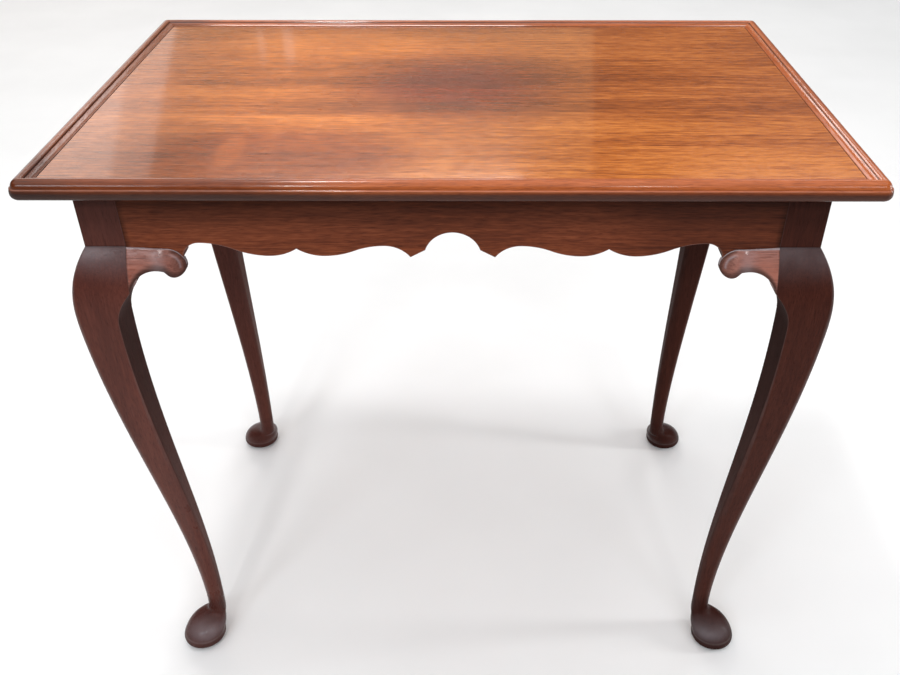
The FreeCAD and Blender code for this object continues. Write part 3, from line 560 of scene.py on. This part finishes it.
# %% The scalloped line
POST_X, POST_Y, POST_SIDE = 343.0, 203.5, 38.5
ARCH_RADIUS, ARCH_RISE, ARCH_HALF = 27, 26.4, 25.7
DROP_POINT, DIP = (39.8, 0), (63.8, 12.1)
CUSP_RISE, CUSP_SHARE = 8.9, 0.54
LOBE_RUN, LOBE_RISE = 25.5, 1.2
HOOK_RUN, HOLLOW_RUN, HOLLOW_RISE = 51.5, 16.4, 15


def drawn_out_s(start, end, count):
    """Two equal arcs from one level point to another."""
    middle = (np.array(start) + np.array(end)) / 2
    first, second = arc_from(start, RIGHT, middle, count), arc_from(end, LEFT, middle, count)
    return np.concatenate([first, second[-2::-1]])


def half_scallop(half_run, with_arch):
    """The right half of the lower edge, from the middle to the post, as (along, rise) points."""
    hook = (half_run - HOOK_RUN, 0)
    hollow = (hook[0] - HOLLOW_RUN, HOLLOW_RISE)
    chain = []
    cusp = (0, CUSP_RISE)
    if with_arch:
        spring = (ARCH_HALF, ARCH_RISE - ARCH_RADIUS + math.sqrt(ARCH_RADIUS**2 - ARCH_HALF**2))
        cusp = (DROP_POINT[0] + (hollow[0] - DROP_POINT[0]) * CUSP_SHARE, CUSP_RISE)
        inner_lobe = (cusp[0] - LOBE_RUN, LOBE_RISE)
        chain += [arc_from((0, ARCH_RISE), RIGHT, spring, 26), straight(spring, DROP_POINT, 8)]
        chain += [arc_from(DIP, LEFT, DROP_POINT, 14)[::-1], drawn_out_s(DIP, inner_lobe, 12)]
        chain += [arc_from(inner_lobe, RIGHT, cusp, 14)]
    outer_lobe = (cusp[0] + LOBE_RUN, LOBE_RISE)
    chain += [arc_from(outer_lobe, LEFT, cusp, 14)[::-1], drawn_out_s(outer_lobe, hollow, 12)]
    chain += [arc_from(hollow, RIGHT, hook, 14), straight(hook, (half_run, 0), 10)]
    return np.concatenate([chain[0]] + [part[1:] for part in chain[1:]])


def scalloped_line(half_run, with_arch):
    """The whole lower edge: the right half and its mirror image."""
    right = half_scallop(half_run, with_arch)
    left = right[:0:-1] * (-1, 1)
    return np.concatenate([left, right])


# %% Boards with the line along their lower edge
APRON_LOW, TOP_UNDERSIDE, APRON_THICKNESS = 578.6, 653.0, 20.0
FACE_POINTS, EASE_POINTS, EASE = 24, 6, 1.3


def apron_rings(half_run, with_arch):
    """The board's section at each point of the line: (along, depth, height) for every point.

    Down the face to the eased edge, a quarter circle of radius EASE, across the underside, a
    quarter circle and up the back. The eased edges move along the line's normal, which at a corner
    is the sum of both neighbours' normals over one plus their product, so the edges meet in a mitre.
    """
    line = scalloped_line(half_run, with_arch)
    step = np.diff(line, axis=0)
    square = np.stack([step[:, 1], -step[:, 0]], axis=1) / np.linalg.norm(step, axis=1, keepdims=True)
    before, after = np.concatenate([square[:1], square]), np.concatenate([square, square[-1:]])
    normal = (before + after) / (1 + np.sum(before * after, axis=1, keepdims=True))
    quarter = np.radians(np.linspace(0, 90, EASE_POINTS))
    lift = EASE * np.concatenate([1 - np.sin(quarter), 1 - np.sin(quarter[::-1])])
    depth = EASE * np.concatenate([1 - np.cos(quarter), np.cos(quarter[::-1]) - 1])
    depth[EASE_POINTS:] += APRON_THICKNESS
    low_along = line[:, :1] - normal[:, :1] * lift
    low_rise = line[:, 1:] - normal[:, 1:] * lift
    drop = np.linspace(0, 1, FACE_POINTS + 1)[:-1]
    top = TOP_UNDERSIDE - APRON_LOW
    face_along = line[:, :1] + (low_along[:, :1] - line[:, :1]) * drop
    face_rise = top + (low_rise[:, :1] - top) * drop
    back_along = (line[:, :1] + (low_along[:, -1:] - line[:, :1]) * drop)[:, ::-1]
    back_rise = (top + (low_rise[:, -1:] - top) * drop)[:, ::-1]
    along = np.concatenate([face_along, low_along, back_along], axis=1)
    rise = np.concatenate([face_rise, low_rise, back_rise], axis=1)
    depth = np.concatenate([np.zeros(FACE_POINTS), depth, np.full(FACE_POINTS, APRON_THICKNESS)])
    return along, np.broadcast_to(depth, along.shape), APRON_LOW + rise


# %% Marks and finish of the aprons
APRON_TONES = ((0.12, 0.027, 0.010), (0.19, 0.045, 0.016), (0.27, 0.068, 0.025))
APRON_PATCHES = ({"tint": (0.6, 0.55, 0.5), "centre": (0.34, -0.2, 0.61), "reach": (0.24, 0.2, 0.3)},)
EASED_FRONT = slice(FACE_POINTS + 1, FACE_POINTS + 4)
UNDERSIDE = slice(FACE_POINTS + EASE_POINTS - 1, FACE_POINTS + EASE_POINTS + 1)

for side, (side_x, side_y) in SIDES.items():
    runs_x = side_x == 0
    face = POST_Y if runs_x else POST_X
    half_run = (POST_X if runs_x else POST_Y) - POST_SIDE
    along, depth, height = apron_rings(half_run, with_arch=runs_x)
    wear = np.zeros(along.shape[1])
    wear[EASED_FRONT] = 0.5
    joint_grime = np.exp(-(half_run - np.abs(along)) / 0.7)
    # Dark joints at the posts, and a painted shadow of the overhang on the upper part of the board.
    grime_and_shade = np.maximum(joint_grime, 0.92 * soft_step(height, 614, 8))
    # Painted shade on the underside of the eased edge.
    grime_and_shade[:, UNDERSIDE] = 0.75
    rings = on_side(side, along, face - depth, height)
    apron = piece_from_rings(f"apron_board_{side}", rings, {"wear": wear, "grime_and_shade": grime_and_shade})
    finish = mahogany(
        f"apron_{side}", "x" if runs_x else "y", APRON_TONES, (side_x, side_y, 1.3), ribbon=40.0,
        gloss=0.28, shine=0.1, patches=APRON_PATCHES,
    )
    put_in_place(apron, f"apron_{side}", finish)
print("aprons:", len(SIDES))

# %% [markdown]
# ## The legs
#
# A cabriole leg is sawn from a square billet along an S drawn on two faces, then rounded: square
# at the knee, softer down the calf, round at the ankle, and turned outwards into a pad foot. So
# its section is a square whose corners have radii of their own, and everything about it is a
# function of height. Those functions are the solid's, but the heel and the throat of the pad are
# a little softer. Grain runs straight down the billet, not round the curve, so the finish needs
# no more than the height axis.

# %% Knee and calf as functions of height
KNEE_LINE, KNEE_FULL, ARCH_FOOT, ANKLE = 590.0, 512.0, 548.3, 70.0
KNEE_SWELL, KNEE_POWER, KNEE_INNER = 19.5, 2.7, 21.7
ANKLE_SET, CALF_SWING, CALF_STRAIGHT = 30.5, 29.4, 0.15
ANKLE_SIDE, CALF_GAIN = 20.4, 20.8
ARRIS, ALMOST_ROUND = 0.8, 0.98


def knee_outer(height):
    """How far the knee stands beyond the post: 19.5 times one minus the share above to 2.7."""
    share = np.clip((height - KNEE_FULL) / (KNEE_LINE - KNEE_FULL), 0, 1)
    return KNEE_SWELL * (1 - share**KNEE_POWER)


def knee_zone(height):
    """Outer and inner reach and the three corner radii between the post and the fullest part."""
    down = (KNEE_LINE - height) / (KNEE_LINE - KNEE_FULL)
    ease = np.clip((ARCH_FOOT - height) / (ARCH_FOOT - KNEE_FULL), 0, 1)
    inner = POST_SIDE + (KNEE_INNER - POST_SIDE) * (1 - (1 - ease) ** 2)
    side_round = np.full_like(height, ARRIS)
    return knee_outer(height), inner, ARRIS + 5.2 * down, side_round, ARRIS + 2.4 * down


def calf_zone(height):
    """An S with a steady taper: the middle swings by a smooth step, the corners soften downwards."""
    share = (height - ANKLE) / (KNEE_FULL - ANKLE)
    smooth = share**2 * (3 - 2 * share)
    middle = -ANKLE_SET + CALF_SWING * (smooth + (share - smooth) * CALF_STRAIGHT)
    half = (ANKLE_SIDE + CALF_GAIN * share**1.25) / 2
    softness = (1 - share) ** 1.5
    outer_round = half * (0.291 + 0.689 * softness)
    side_round = np.minimum(half * ALMOST_ROUND * softness + ARRIS * share, half * ALMOST_ROUND)
    return middle + half, half - middle, outer_round, side_round, half * (0.2 + 0.78 * softness)


# %% The pad foot
BASE_HEIGHTS = (3, 3.4, 4.6, 7, 9.5)
BASE_HALVES = (20.3, 21.6, 23.9, 25.7, 26.0)
DOME_SHARES = np.array([0.28, 0.4, 0.52, 0.64, 0.74, 0.82, 0.89])
DOME_LOW, DOME_RISE, THROAT_LOW = 12, 32, 32.6
PAD_SWELL, PAD_SET = 15.5, 13.5


def smooth_through(spots, values, wanted):
    """A curve through given points: cubic steps with the slope of the neighbouring points."""
    slope = np.gradient(values, spots)
    left = np.clip(np.searchsorted(spots, wanted) - 1, 0, len(spots) - 2)
    width = spots[left + 1] - spots[left]
    t = (wanted - spots[left]) / width
    start = values[left] * (1 + 2 * t) * (1 - t) ** 2 + slope[left] * width * t * (1 - t) ** 2
    return start + values[left + 1] * t**2 * (3 - 2 * t) + slope[left + 1] * width * t**2 * (t - 1)


def foot_zone(height):
    """The pad: a dome from the instep down to an arris, a rounded side and a small base.

    The dome swells as the root of one minus the share squared, and above it a throat dies away
    exponentially into the ankle. The pad's middle moves outwards with the same swell, and a small
    heel keeps the inner side upright.
    """
    lowest = DOME_SHARES[0]
    dome = np.sqrt(1 - DOME_SHARES**2) / math.sqrt(1 - lowest**2)
    dome_heights = DOME_LOW + (DOME_SHARES - lowest) * DOME_RISE
    above = np.arange(0, 15, 1.5)
    throat = dome[-1] * 0.86 * np.exp(-above / 3.0)
    spots = np.concatenate([BASE_HEIGHTS, dome_heights, THROAT_LOW + above, [ANKLE]])
    swell = np.concatenate([dome, throat, [0]])
    half = np.concatenate([BASE_HALVES, ANKLE_SIDE / 2 + PAD_SWELL * swell])
    base_set = np.full(len(BASE_HEIGHTS), PAD_SET)
    set_in = np.concatenate([base_set, ANKLE_SET - (ANKLE_SET - PAD_SET) * swell])
    half = smooth_through(spots, half, height)
    set_in = smooth_through(spots, set_in, height)
    heel = 1.7 * bell(height, 24, 8**2)
    radius = half * ALMOST_ROUND
    return half - set_in, half + set_in + heel, radius, radius, radius


# %% Rounded squares up the leg
ARC_POINTS, FLAT_POINTS = 13, 5
CORNERS = {"front_left": (-1, -1), "front_right": (1, -1), "back_right": (1, 1), "back_left": (-1, 1)}


def leg_rings():
    """Rings from the post's top to the foot's base, as reaches inwards from the post's outer faces.

    Each ring is four corner arcs of 13 points with 5 points on each flat between them. The arc of
    corner k runs from 180 + 90 k to 270 + 90 k degrees about a centre one radius inside.
    """
    post = np.array([TOP_UNDERSIDE, 640, 622, 606, 597, 592, 590.6])
    knee = np.linspace(KNEE_LINE, 512.6, 46)
    calf = np.linspace(KNEE_FULL, 70.5, 110)
    foot = np.concatenate([np.linspace(ANKLE, 46, 14), np.linspace(45, 12.3, 46), np.linspace(12, 3, 16)])
    sharp = np.full(len(post), ARRIS)
    post_zone = (np.zeros(len(post)), np.full(len(post), POST_SIDE), sharp, sharp, sharp)
    zones = (post_zone, knee_zone(knee), calf_zone(calf), foot_zone(foot))
    outer, inner, outer_round, side_round, inner_round = (np.concatenate(part) for part in zip(*zones))
    height = np.concatenate([post, knee, calf, foot])
    radius = np.stack([outer_round, side_round, inner_round, side_round], axis=1)
    centre_x = np.stack([-outer, inner, inner, -outer], axis=1) + radius * (1, -1, -1, 1)
    centre_y = np.stack([-outer, -outer, inner, inner], axis=1) + radius * (1, 1, -1, -1)
    turn = np.radians(180 + 90 * np.arange(4)[:, None] + np.linspace(0, 90, ARC_POINTS))
    arc_x = centre_x[..., None] + radius[..., None] * np.cos(turn)
    arc_y = centre_y[..., None] + radius[..., None] * np.sin(turn)
    arcs = np.stack([arc_x, arc_y], axis=-1)
    ahead = np.roll(arcs[:, :, 0], -1, axis=1)
    share = (np.arange(1, FLAT_POINTS + 1) / (FLAT_POINTS + 1))[:, None]
    flats = arcs[:, :, -1, None] + (ahead - arcs[:, :, -1])[:, :, None] * share
    ring = np.concatenate([arcs, flats], axis=2).reshape(len(height), -1, 2)
    return ring[..., 0], ring[..., 1], np.broadcast_to(height[:, None], ring.shape[:2])


def at_corner(corner, inward_x, inward_y, height):
    """Points given by their reach inwards from a post's outer faces, as (x, y, z)."""
    side_x, side_y = CORNERS[corner]
    return np.stack([side_x * (POST_X - inward_x), side_y * (POST_Y - inward_y), height], axis=-1)


inward_x, inward_y, height = leg_rings()
print("rings and points of a leg:", height.shape)

# %% [markdown]
# ## Marks on the legs
#
# The arrises of knee and calf and the edge of the pad are rubbed pale. Painted shade darkens the break
# under the post, the top of the post under the overhang, the underside of the pad and the two sides that
# look into the frame, where it fades downwards. The knee just under the break and the front of the pad
# get a painted sheen and a lower roughness. In the photograph the left leg looks lighter than the right
# one, so the right legs get darker tones and less sheen, as painted shade.

# %% Wear, painted shade and painted sheen of the legs
BREAK = 590.3
INNER_SHADE, INNER_LOW, INNER_HIGH = 0.85, 60, 585

arris = np.zeros((4, ARC_POINTS + FLAT_POINTS))
corner_wear = np.array([1, 0.7, 0.3, 0.7])[:, None]
arris[:, :ARC_POINTS] = np.sin(np.pi * np.linspace(0, 1, ARC_POINTS)) * corner_wear
arris_wear = arris.ravel() * np.clip((height - 150) / 300, 0.1, 0.8)
leg_wear = np.maximum(arris_wear, 0.9 * bell(height, 15, 1.5))

# Painted shade on the two sides that look into the frame, fading downwards.
faces_inward = np.zeros(arris.shape, dtype=bool)
faces_inward[1, 9:] = faces_inward[2] = faces_inward[3, :4] = True
faces_inward = faces_inward.ravel()
inner_fade = np.clip((height - INNER_LOW) / 420, 0.3, 1)
inner_shade = INNER_SHADE * faces_inward * (height < INNER_HIGH) * (height > INNER_LOW) * inner_fade
# Painted shade in the break under the post, on the top of the post under the overhang and under the pad.
outer_shade = 0.7 * bell(height, BREAK, 0.4) + 0.62 * soft_step(height, 612, 8)
outer_shade = outer_shade + 0.3 * (1 - soft_step(height, 12, 2))
leg_shade = np.maximum(outer_shade, inner_shade)

# Painted sheen just under the knee's break and on the front of the pad.
middle_x, middle_y = inward_x.mean(axis=1, keepdims=True), inward_y.mean(axis=1, keepdims=True)
around = np.arctan2(inward_y - middle_y, inward_x - middle_x)
forward_side = np.clip(0.25 + 0.75 * np.cos(around + math.radians(75)), 0, 1)
knee_sheen = 0.33 * bell(height, 588, 19**2) * (height < BREAK) * ~faces_inward
leg_sheen = knee_sheen + 0.48 * bell(height, 25, 8**2) * forward_side
print("burnish on a leg up to", leg_sheen.max().round(2))

# %% Four legs
LEFT_LEG_TONES = ((0.080, 0.020, 0.013), (0.098, 0.025, 0.016), (0.116, 0.031, 0.020))
SHADED_RIGHT_LEG_TONES = ((0.047, 0.012, 0.0075), (0.058, 0.015, 0.009), (0.070, 0.019, 0.012))
# Tones, shine and share of painted sheen of the left and the right legs; the right legs' darker tones are
# painted shade
LEG_LOOKS = {-1: (LEFT_LEG_TONES, 0.13, 1), 1: (SHADED_RIGHT_LEG_TONES, 0.05, 0.75)}

for corner, (side_x, side_y) in CORNERS.items():
    tones, shine, sheen_share = LEG_LOOKS[side_x]
    marks = {"wear": leg_wear, "grime_and_shade": leg_shade, "burnish_and_sheen": leg_sheen * sheen_share}
    leg = piece_from_rings(f"cabriole_{corner}", at_corner(corner, inward_x, inward_y, height), marks)
    foot = (side_x * 0.335, side_y * 0.195, 0.02)
    dark_foot = {"tint": (0.62, 0.58, 0.62), "centre": foot, "reach": (0.10, 0.10, 0.06), "full": 0.4}
    finish = mahogany(
        f"leg_{corner}", "z", tones, (side_x * 2, side_y * 3, 0.2), ribbon=50.0, gloss=0.31,
        shine=shine, patches=(dark_foot,),
    )
    put_in_place(leg, f"leg_{corner}", finish)
print("legs:", len(CORNERS))

# %% [markdown]
# ## The knee blocks
#
# Beside each knee, under the apron, sits a glued-on block that carries the knee's swell on into
# a scrolled ear. A flat outline with thickness would look sawn, but the real one is carved: its
# face follows the knee, rolls back towards the ear's tip, and its lower edge is rounded under.
# The block is a strip between a top line and a bottom line, so it is made from sections that stand
# between those two lines, from the leg to the tip. The second contour of the scroll is too fine for the
# sections, so a band of painted shade and a painted highlight line in the finish stand for it.

# %% Outline of the ear
SCROLL_MIDDLE = (75, 571)


def evenly(points, count):
    """The same line with count points at even distances along it."""
    length = np.concatenate([[0], np.cumsum(np.linalg.norm(np.diff(points, axis=0), axis=1))])
    wanted = np.linspace(0, length[-1], count)
    return np.stack([np.interp(wanted, length, points[:, axis]) for axis in range(2)], axis=1)


def circle_part(centre, radius, first, last, count):
    """Points on a circle from one angle to another, in degrees."""
    turn = np.radians(np.linspace(first, last, count))
    return np.array(centre) + radius * np.stack([np.cos(turn), np.sin(turn)], axis=1)


shoulder = straight((POST_SIDE, KNEE_LINE), (75, 588), 30)
ear_top = np.concatenate([shoulder, circle_part(SCROLL_MIDDLE, 17, 90, 0, 30)[1:]])
under_arch = circle_part((64.5, 542.2), 26.7, 166.8, 73, 50)
scroll = circle_part((82.5, 571), 9.5, 225, 360, 30)
ear_low = np.concatenate([under_arch, scroll])
print("ear reaches", ear_top[-1].round(1), "and its arch ends at", under_arch[-1].round(1))

# %% Carved sections from the leg to the tip
STATIONS, EAR_FACE_POINTS, EAR_BACK_POINTS = 84, 30, 16
PROUD, LEAST_PROUD = 0.6, 0.3
LOWER_ROLL, ROLL_BACK_FROM, ROLL_BACK = 3.2, 66, 75
ON_APRON, BELOW_APRON = -0.05, 3.95


def roll_off(distance, radius):
    """How far a rounded edge falls back at a distance from it: a quarter circle."""
    inside = 1 - np.minimum(distance / radius, 1)
    return radius * (1 - np.sqrt(1 - inside**2))


def block_rings():
    """Sections between the two lines: reach from the post, depth, height, and distance from the low line.

    The face stands out by the knee's curve plus 0.6, less a roll-off at both edges and a slow
    fall towards the tip. The back lies on the apron, and 4 behind its face below the apron.
    """
    top, low = evenly(ear_top, STATIONS)[:-1], evenly(ear_low, STATIONS)[:-1]
    share = (1 - np.cos(np.linspace(0, np.pi, EAR_FACE_POINTS))) / 2
    face = low[:, None] + (top - low)[:, None] * share[:, None]
    width = np.linalg.norm(top - low, axis=1)[:, None]
    out = np.linspace(0, 1, STATIONS)[:-1, None]
    depth = -(knee_outer(face[..., 1]) + PROUD)
    depth = depth + roll_off(share * width, LOWER_ROLL) + roll_off((1 - share) * width, 0.3 + 0.7 * out)
    depth = depth + np.clip(face[..., 0] - ROLL_BACK_FROM, 0, None) ** 2 / ROLL_BACK
    depth = np.minimum(depth, -LEAST_PROUD)
    back_share = np.linspace(1, 0, EAR_BACK_POINTS)
    back = low[:, None] + (top - low)[:, None] * back_share[:, None]
    behind = np.where(back[..., 1] > APRON_LOW, ON_APRON, BELOW_APRON)
    from_post = np.concatenate([face[..., 0], back[..., 0]], axis=1)
    height = np.concatenate([face[..., 1], back[..., 1]], axis=1)
    return from_post, np.concatenate([depth, behind], axis=1), height, share * width


from_post, depth, height, above_edge = block_rings()
print("sections and points of a block:", height.shape)

# %% Marks of the blocks
TOP_EDGE = slice(EAR_FACE_POINTS - 4, EAR_FACE_POINTS + 1)

# The top edge is worn and carries a painted highlight line.
block_wear_and_highlight = np.zeros(height.shape[1])
block_wear_and_highlight[EAR_FACE_POINTS - 4:] = 0.5
block_wear_and_highlight[EAR_FACE_POINTS - 3:EAR_FACE_POINTS] = 1.6

# A dark glue line at the leg, and painted shade at the tip, in a band beyond the scroll's second contour
# and along the lower edge.
from_scroll = np.hypot(from_post - SCROLL_MIDDLE[0], height - SCROLL_MIDDLE[1])
towards_tip = soft_step(from_post, 78.5, 1.2)
glue_line = 0.8 * np.exp(-(from_post - POST_SIDE) / 0.5)
tip_shade = 0.5 * soft_step(from_post, 80, 1.6)
dark_band = 0.9 * towards_tip * soft_step(from_scroll, 13.8, 0.5)
block_grime_and_shade = np.maximum.reduce([glue_line, tip_shade, dark_band])
lower_edge_shadow = np.exp(-((above_edge / 7.0) ** 4))
block_grime_and_shade[:, :EAR_FACE_POINTS] = np.maximum(block_grime_and_shade[:, :EAR_FACE_POINTS], lower_edge_shadow)

# Painted sheen in the middle of the face, and painted highlight lines inside the scroll's contour and
# along the top edge.
sheen = 0.4 * bell(from_post, 68, 7**2) * bell(height, 577, 12**2)
highlight_line = 0.6 * bell(from_scroll, 12.2, 0.9**2) * towards_tip * (height > 570)
block_sheen_and_highlights = sheen + highlight_line
block_sheen_and_highlights[:, TOP_EDGE] = 1.0
print("grime on a block up to", block_grime_and_shade.max().round(2))

# %% Eight blocks
# The blocks' tones are paler than the legs' wood, a painted part of their sheen.
BLOCK_TONES_WITH_SHEEN = ((0.23, 0.072, 0.047), (0.31, 0.106, 0.073), (0.41, 0.155, 0.110))

for corner, (side_x, side_y) in CORNERS.items():
    long_block = at_corner(corner, from_post, depth, height)
    end_block = at_corner(corner, depth, from_post, height)
    for run, rings, grain in (("long", long_block, "x"), ("end", end_block, "y")):
        marks = {"wear": block_wear_and_highlight, "grime_and_shade": block_grime_and_shade, "burnish_and_sheen": block_sheen_and_highlights}
        block = piece_from_rings(f"ear_{corner}_{run}", rings, marks)
        seed = (side_x, side_y * 2, 0.6)
        finish = mahogany(
            f"block_{corner}_{run}", grain, BLOCK_TONES_WITH_SHEEN, seed, ribbon=55.0, gloss=0.26, shine=0.3
        )
        put_in_place(block, f"knee_block_{corner}_{run}", finish)
print("knee blocks:", 2 * len(CORNERS))

# %% [markdown]
# ## Inside the frame and under the feet
#
# Corner blocks and buttons are plain secondary wood, left unpolished where nobody looks. Screws
# and nails are steel, and the glides are pale nylon. Their solids are right, so they only need
# finishes. One noise is enough for each: long grain for the wood, fine scratches for the steel
# and scuffs for the nylon.

# %% Plain finishes
BARE_WOOD = {
    "stretch": (6, 160, 160), "detail": 4, "rough": 0.6, "relief": 0.0002,
    "colours": [(0.34, (0.20, 0.11, 0.055)), (0.5, (0.34, 0.21, 0.11)), (0.66, (0.45, 0.30, 0.17))],
    "roughness": [(0.3, 0.62), (0.7, 0.8)],
}
WORN_STEEL = {
    "stretch": (900, 900, 3000), "detail": 3, "rough": 0.55, "relief": 0.00005, "metal": 1.0,
    "colours": [(0.35, (0.30, 0.28, 0.26)), (0.65, (0.55, 0.53, 0.50))],
    "roughness": [(0.3, 0.28), (0.7, 0.5)],
}
SCUFFED_NYLON = {
    "stretch": (300, 300, 300), "detail": 5, "rough": 0.65, "relief": 0.0001,
    "colours": [(0.35, (0.46, 0.42, 0.36)), (0.6, (0.74, 0.71, 0.66))],
    "roughness": [(0.3, 0.4), (0.7, 0.62)],
}


def plain_finish(name, stretch, detail, rough, relief, colours, roughness, metal=0.0, seed=(0, 0, 0)):
    """One noise that drives the colour, the roughness and a fine relief."""
    material, tree, shader = new_finish(name)
    tone = noise(tree, scaled(tree, object_place(tree), shift=seed), stretch, detail, rough)
    feed(tree, shader.inputs["Base Color"], ramp(tree, tone, colours))
    feed(tree, shader.inputs["Roughness"], ramp(tree, tone, roughness))
    feed(tree, shader.inputs["Normal"], bump(tree, tone, relief))
    shader.inputs["Metallic"].default_value = metal
    return material


# %% Finishes by the start of a solid's name
steel = plain_finish("fastener_steel", **WORN_STEEL)
PLAIN_FINISHES = {
    "corner_block_screws": steel,
    "top_button_screws": steel,
    "glide_nails": steel,
    "corner_block": plain_finish("corner_block_wood", seed=(0.2, 0.4, 0.1), **BARE_WOOD),
    "top_button": plain_finish("button_wood", seed=(1.3, 0.9, 0.5), **BARE_WOOD),
    "foot_glide": plain_finish("glide_nylon", **SCUFFED_NYLON),
}
finished = 0
for name, solid in nodes.items():
    fitting = [finish for start, finish in PLAIN_FINISHES.items() if name.startswith(start)]
    if fitting:
        solid.data.materials.clear()
        solid.data.materials.append(fitting[0])
        finished += 1
print("plain solids finished:", finished)

# %% [markdown]
# ## Floor and light
#
# The table stands on a plain pale floor that fills the picture. A wide ceiling light makes the
# top bright and leaves the apron in the shade of the overhang. An oval lamp, a window behind and a
# strip at the right add glints, and a light over the far corner keeps the floor pale there. Lamps
# and cool windows in front light the legs, more from the left than from the right. A polished top
# also mirrors what stands behind it: pale panels at the left and a warm one in the middle give the
# two long reflections of the photograph, and two tiny panes add small bright marks.

# %% Pale floor
FLOOR_REACH = 12.0
FLOOR_GREYS = [(0.3, 0.90), (0.7, 0.94)]

floor_mesh = bpy.data.meshes.new("floor")
floor_corners = [(x * FLOOR_REACH, y * FLOOR_REACH, 0) for x, y in CORNERS.values()]
floor_mesh.from_pydata(floor_corners, [], [(0, 1, 2, 3)])
floor = bpy.data.objects.new("floor", floor_mesh)
bpy.context.collection.objects.link(floor)
floor_finish, tree, shader = new_finish("pale_floor")
mottle = noise(tree, object_place(tree), (3, 3, 3), 3)
feed(tree, shader.inputs["Base Color"], ramp(tree, mottle, FLOOR_GREYS))
shader.inputs["Roughness"].default_value = 0.9
shader.inputs["Specular IOR Level"].default_value = 0.1
floor_mesh.materials.append(floor_finish)
print("floor reaches", FLOOR_REACH, "metres each way")

# %% Soft lights
def soft_light(name, spot, target, size, power, colour=(1, 1, 1), lean=0.0, shape="RECTANGLE"):
    """A flat light at spot that faces target, leaning to one side by some degrees."""
    light = bpy.data.lights.new(name, "AREA")
    light.shape = shape
    light.size, light.size_y = size
    light.energy = power
    light.color = colour
    lamp = bpy.data.objects.new(name, light)
    bpy.context.collection.objects.link(lamp)
    lamp.location = spot
    facing = (Vector(target) - Vector(spot)).to_track_quat("-Z", "Y").to_matrix()
    lamp.rotation_euler = (facing @ Matrix.Rotation(math.radians(lean), 3, "Z")).to_euler()


COOL, WARM, ROSE = (0.86, 0.93, 1.0), (1.0, 0.76, 0.44), (1.0, 0.95, 0.94)
soft_light("ceiling", (-0.3, -0.4, 3.6), (0, 0, 0), (5.4, 5.0), 124)
soft_light("lamp", (-0.48, 0.1, 2.9), (-0.2, 0, 0.6), (0.5, 0.2), 17, shape="ELLIPSE")
soft_light("left_lamp", (-0.8, -3.1, 2.6), (-0.33, -0.2, 0.3), (0.25, 0.25), 18, shape="ELLIPSE")
soft_light("right_lamp", (0.8, -3.1, 2.6), (0.33, -0.2, 0.3), (0.25, 0.25), 9, shape="ELLIPSE")
soft_light("left_window", (-1.95, -3.25, 2.6), (-0.34, -0.2, 0.55), (0.9, 0.9), 28, COOL)
soft_light("right_window", (1.95, -3.25, 2.6), (0.34, -0.2, 0.55), (0.9, 0.9), 15, COOL)
soft_light("back_window", (-0.55, 3.6, 2.9), (-0.1, 0, 0.67), (1.7, 0.6), 28)
soft_light("right_strip", (2.2, -0.1, 0.8), (0.34, -0.2, 0.5), (0.25, 0.9), 14)
soft_light("far_corner", (2.3, 3.5, 3.0), (2.3, 3.5, 0), (2.0, 2.0), 40)
soft_light("left_panel", (-2.63, 3.6, 1.68), (-2.63, 0, 1.68), (2.2, 2.6), 14, ROSE, -20)
soft_light("left_glow", (-2.82, 3.62, 1.61), (-2.82, 0, 1.61), (2.2, 2.6), 14, ROSE, -20)
soft_light("middle_panel", (-1.17, 3.65, 2.05), (-1.17, 0, 2.05), (3.6, 1.9), 7.5, WARM, 4)
soft_light("first_pane", (-0.90, 3.55, 1.75), (-0.90, 0, 1.75), (0.05, 0.16), 0.013)
soft_light("second_pane", (-1.035, 3.55, 1.75), (-1.035, 0, 1.75), (0.03, 0.16), 0.007)
print("lights:", len(bpy.data.lights))

# %% The room around
ROOM_COLOUR, ROOM_STRENGTH = (0.95, 0.97, 1.0, 1), 0.08

world = bpy.data.worlds.new("room")
world.use_nodes = True
background = world.node_tree.nodes["Background"]
background.inputs["Color"].default_value = ROOM_COLOUR
background.inputs["Strength"].default_value = ROOM_STRENGTH
bpy.context.scene.world = world
bpy.context.scene.view_settings.view_transform = "Standard"
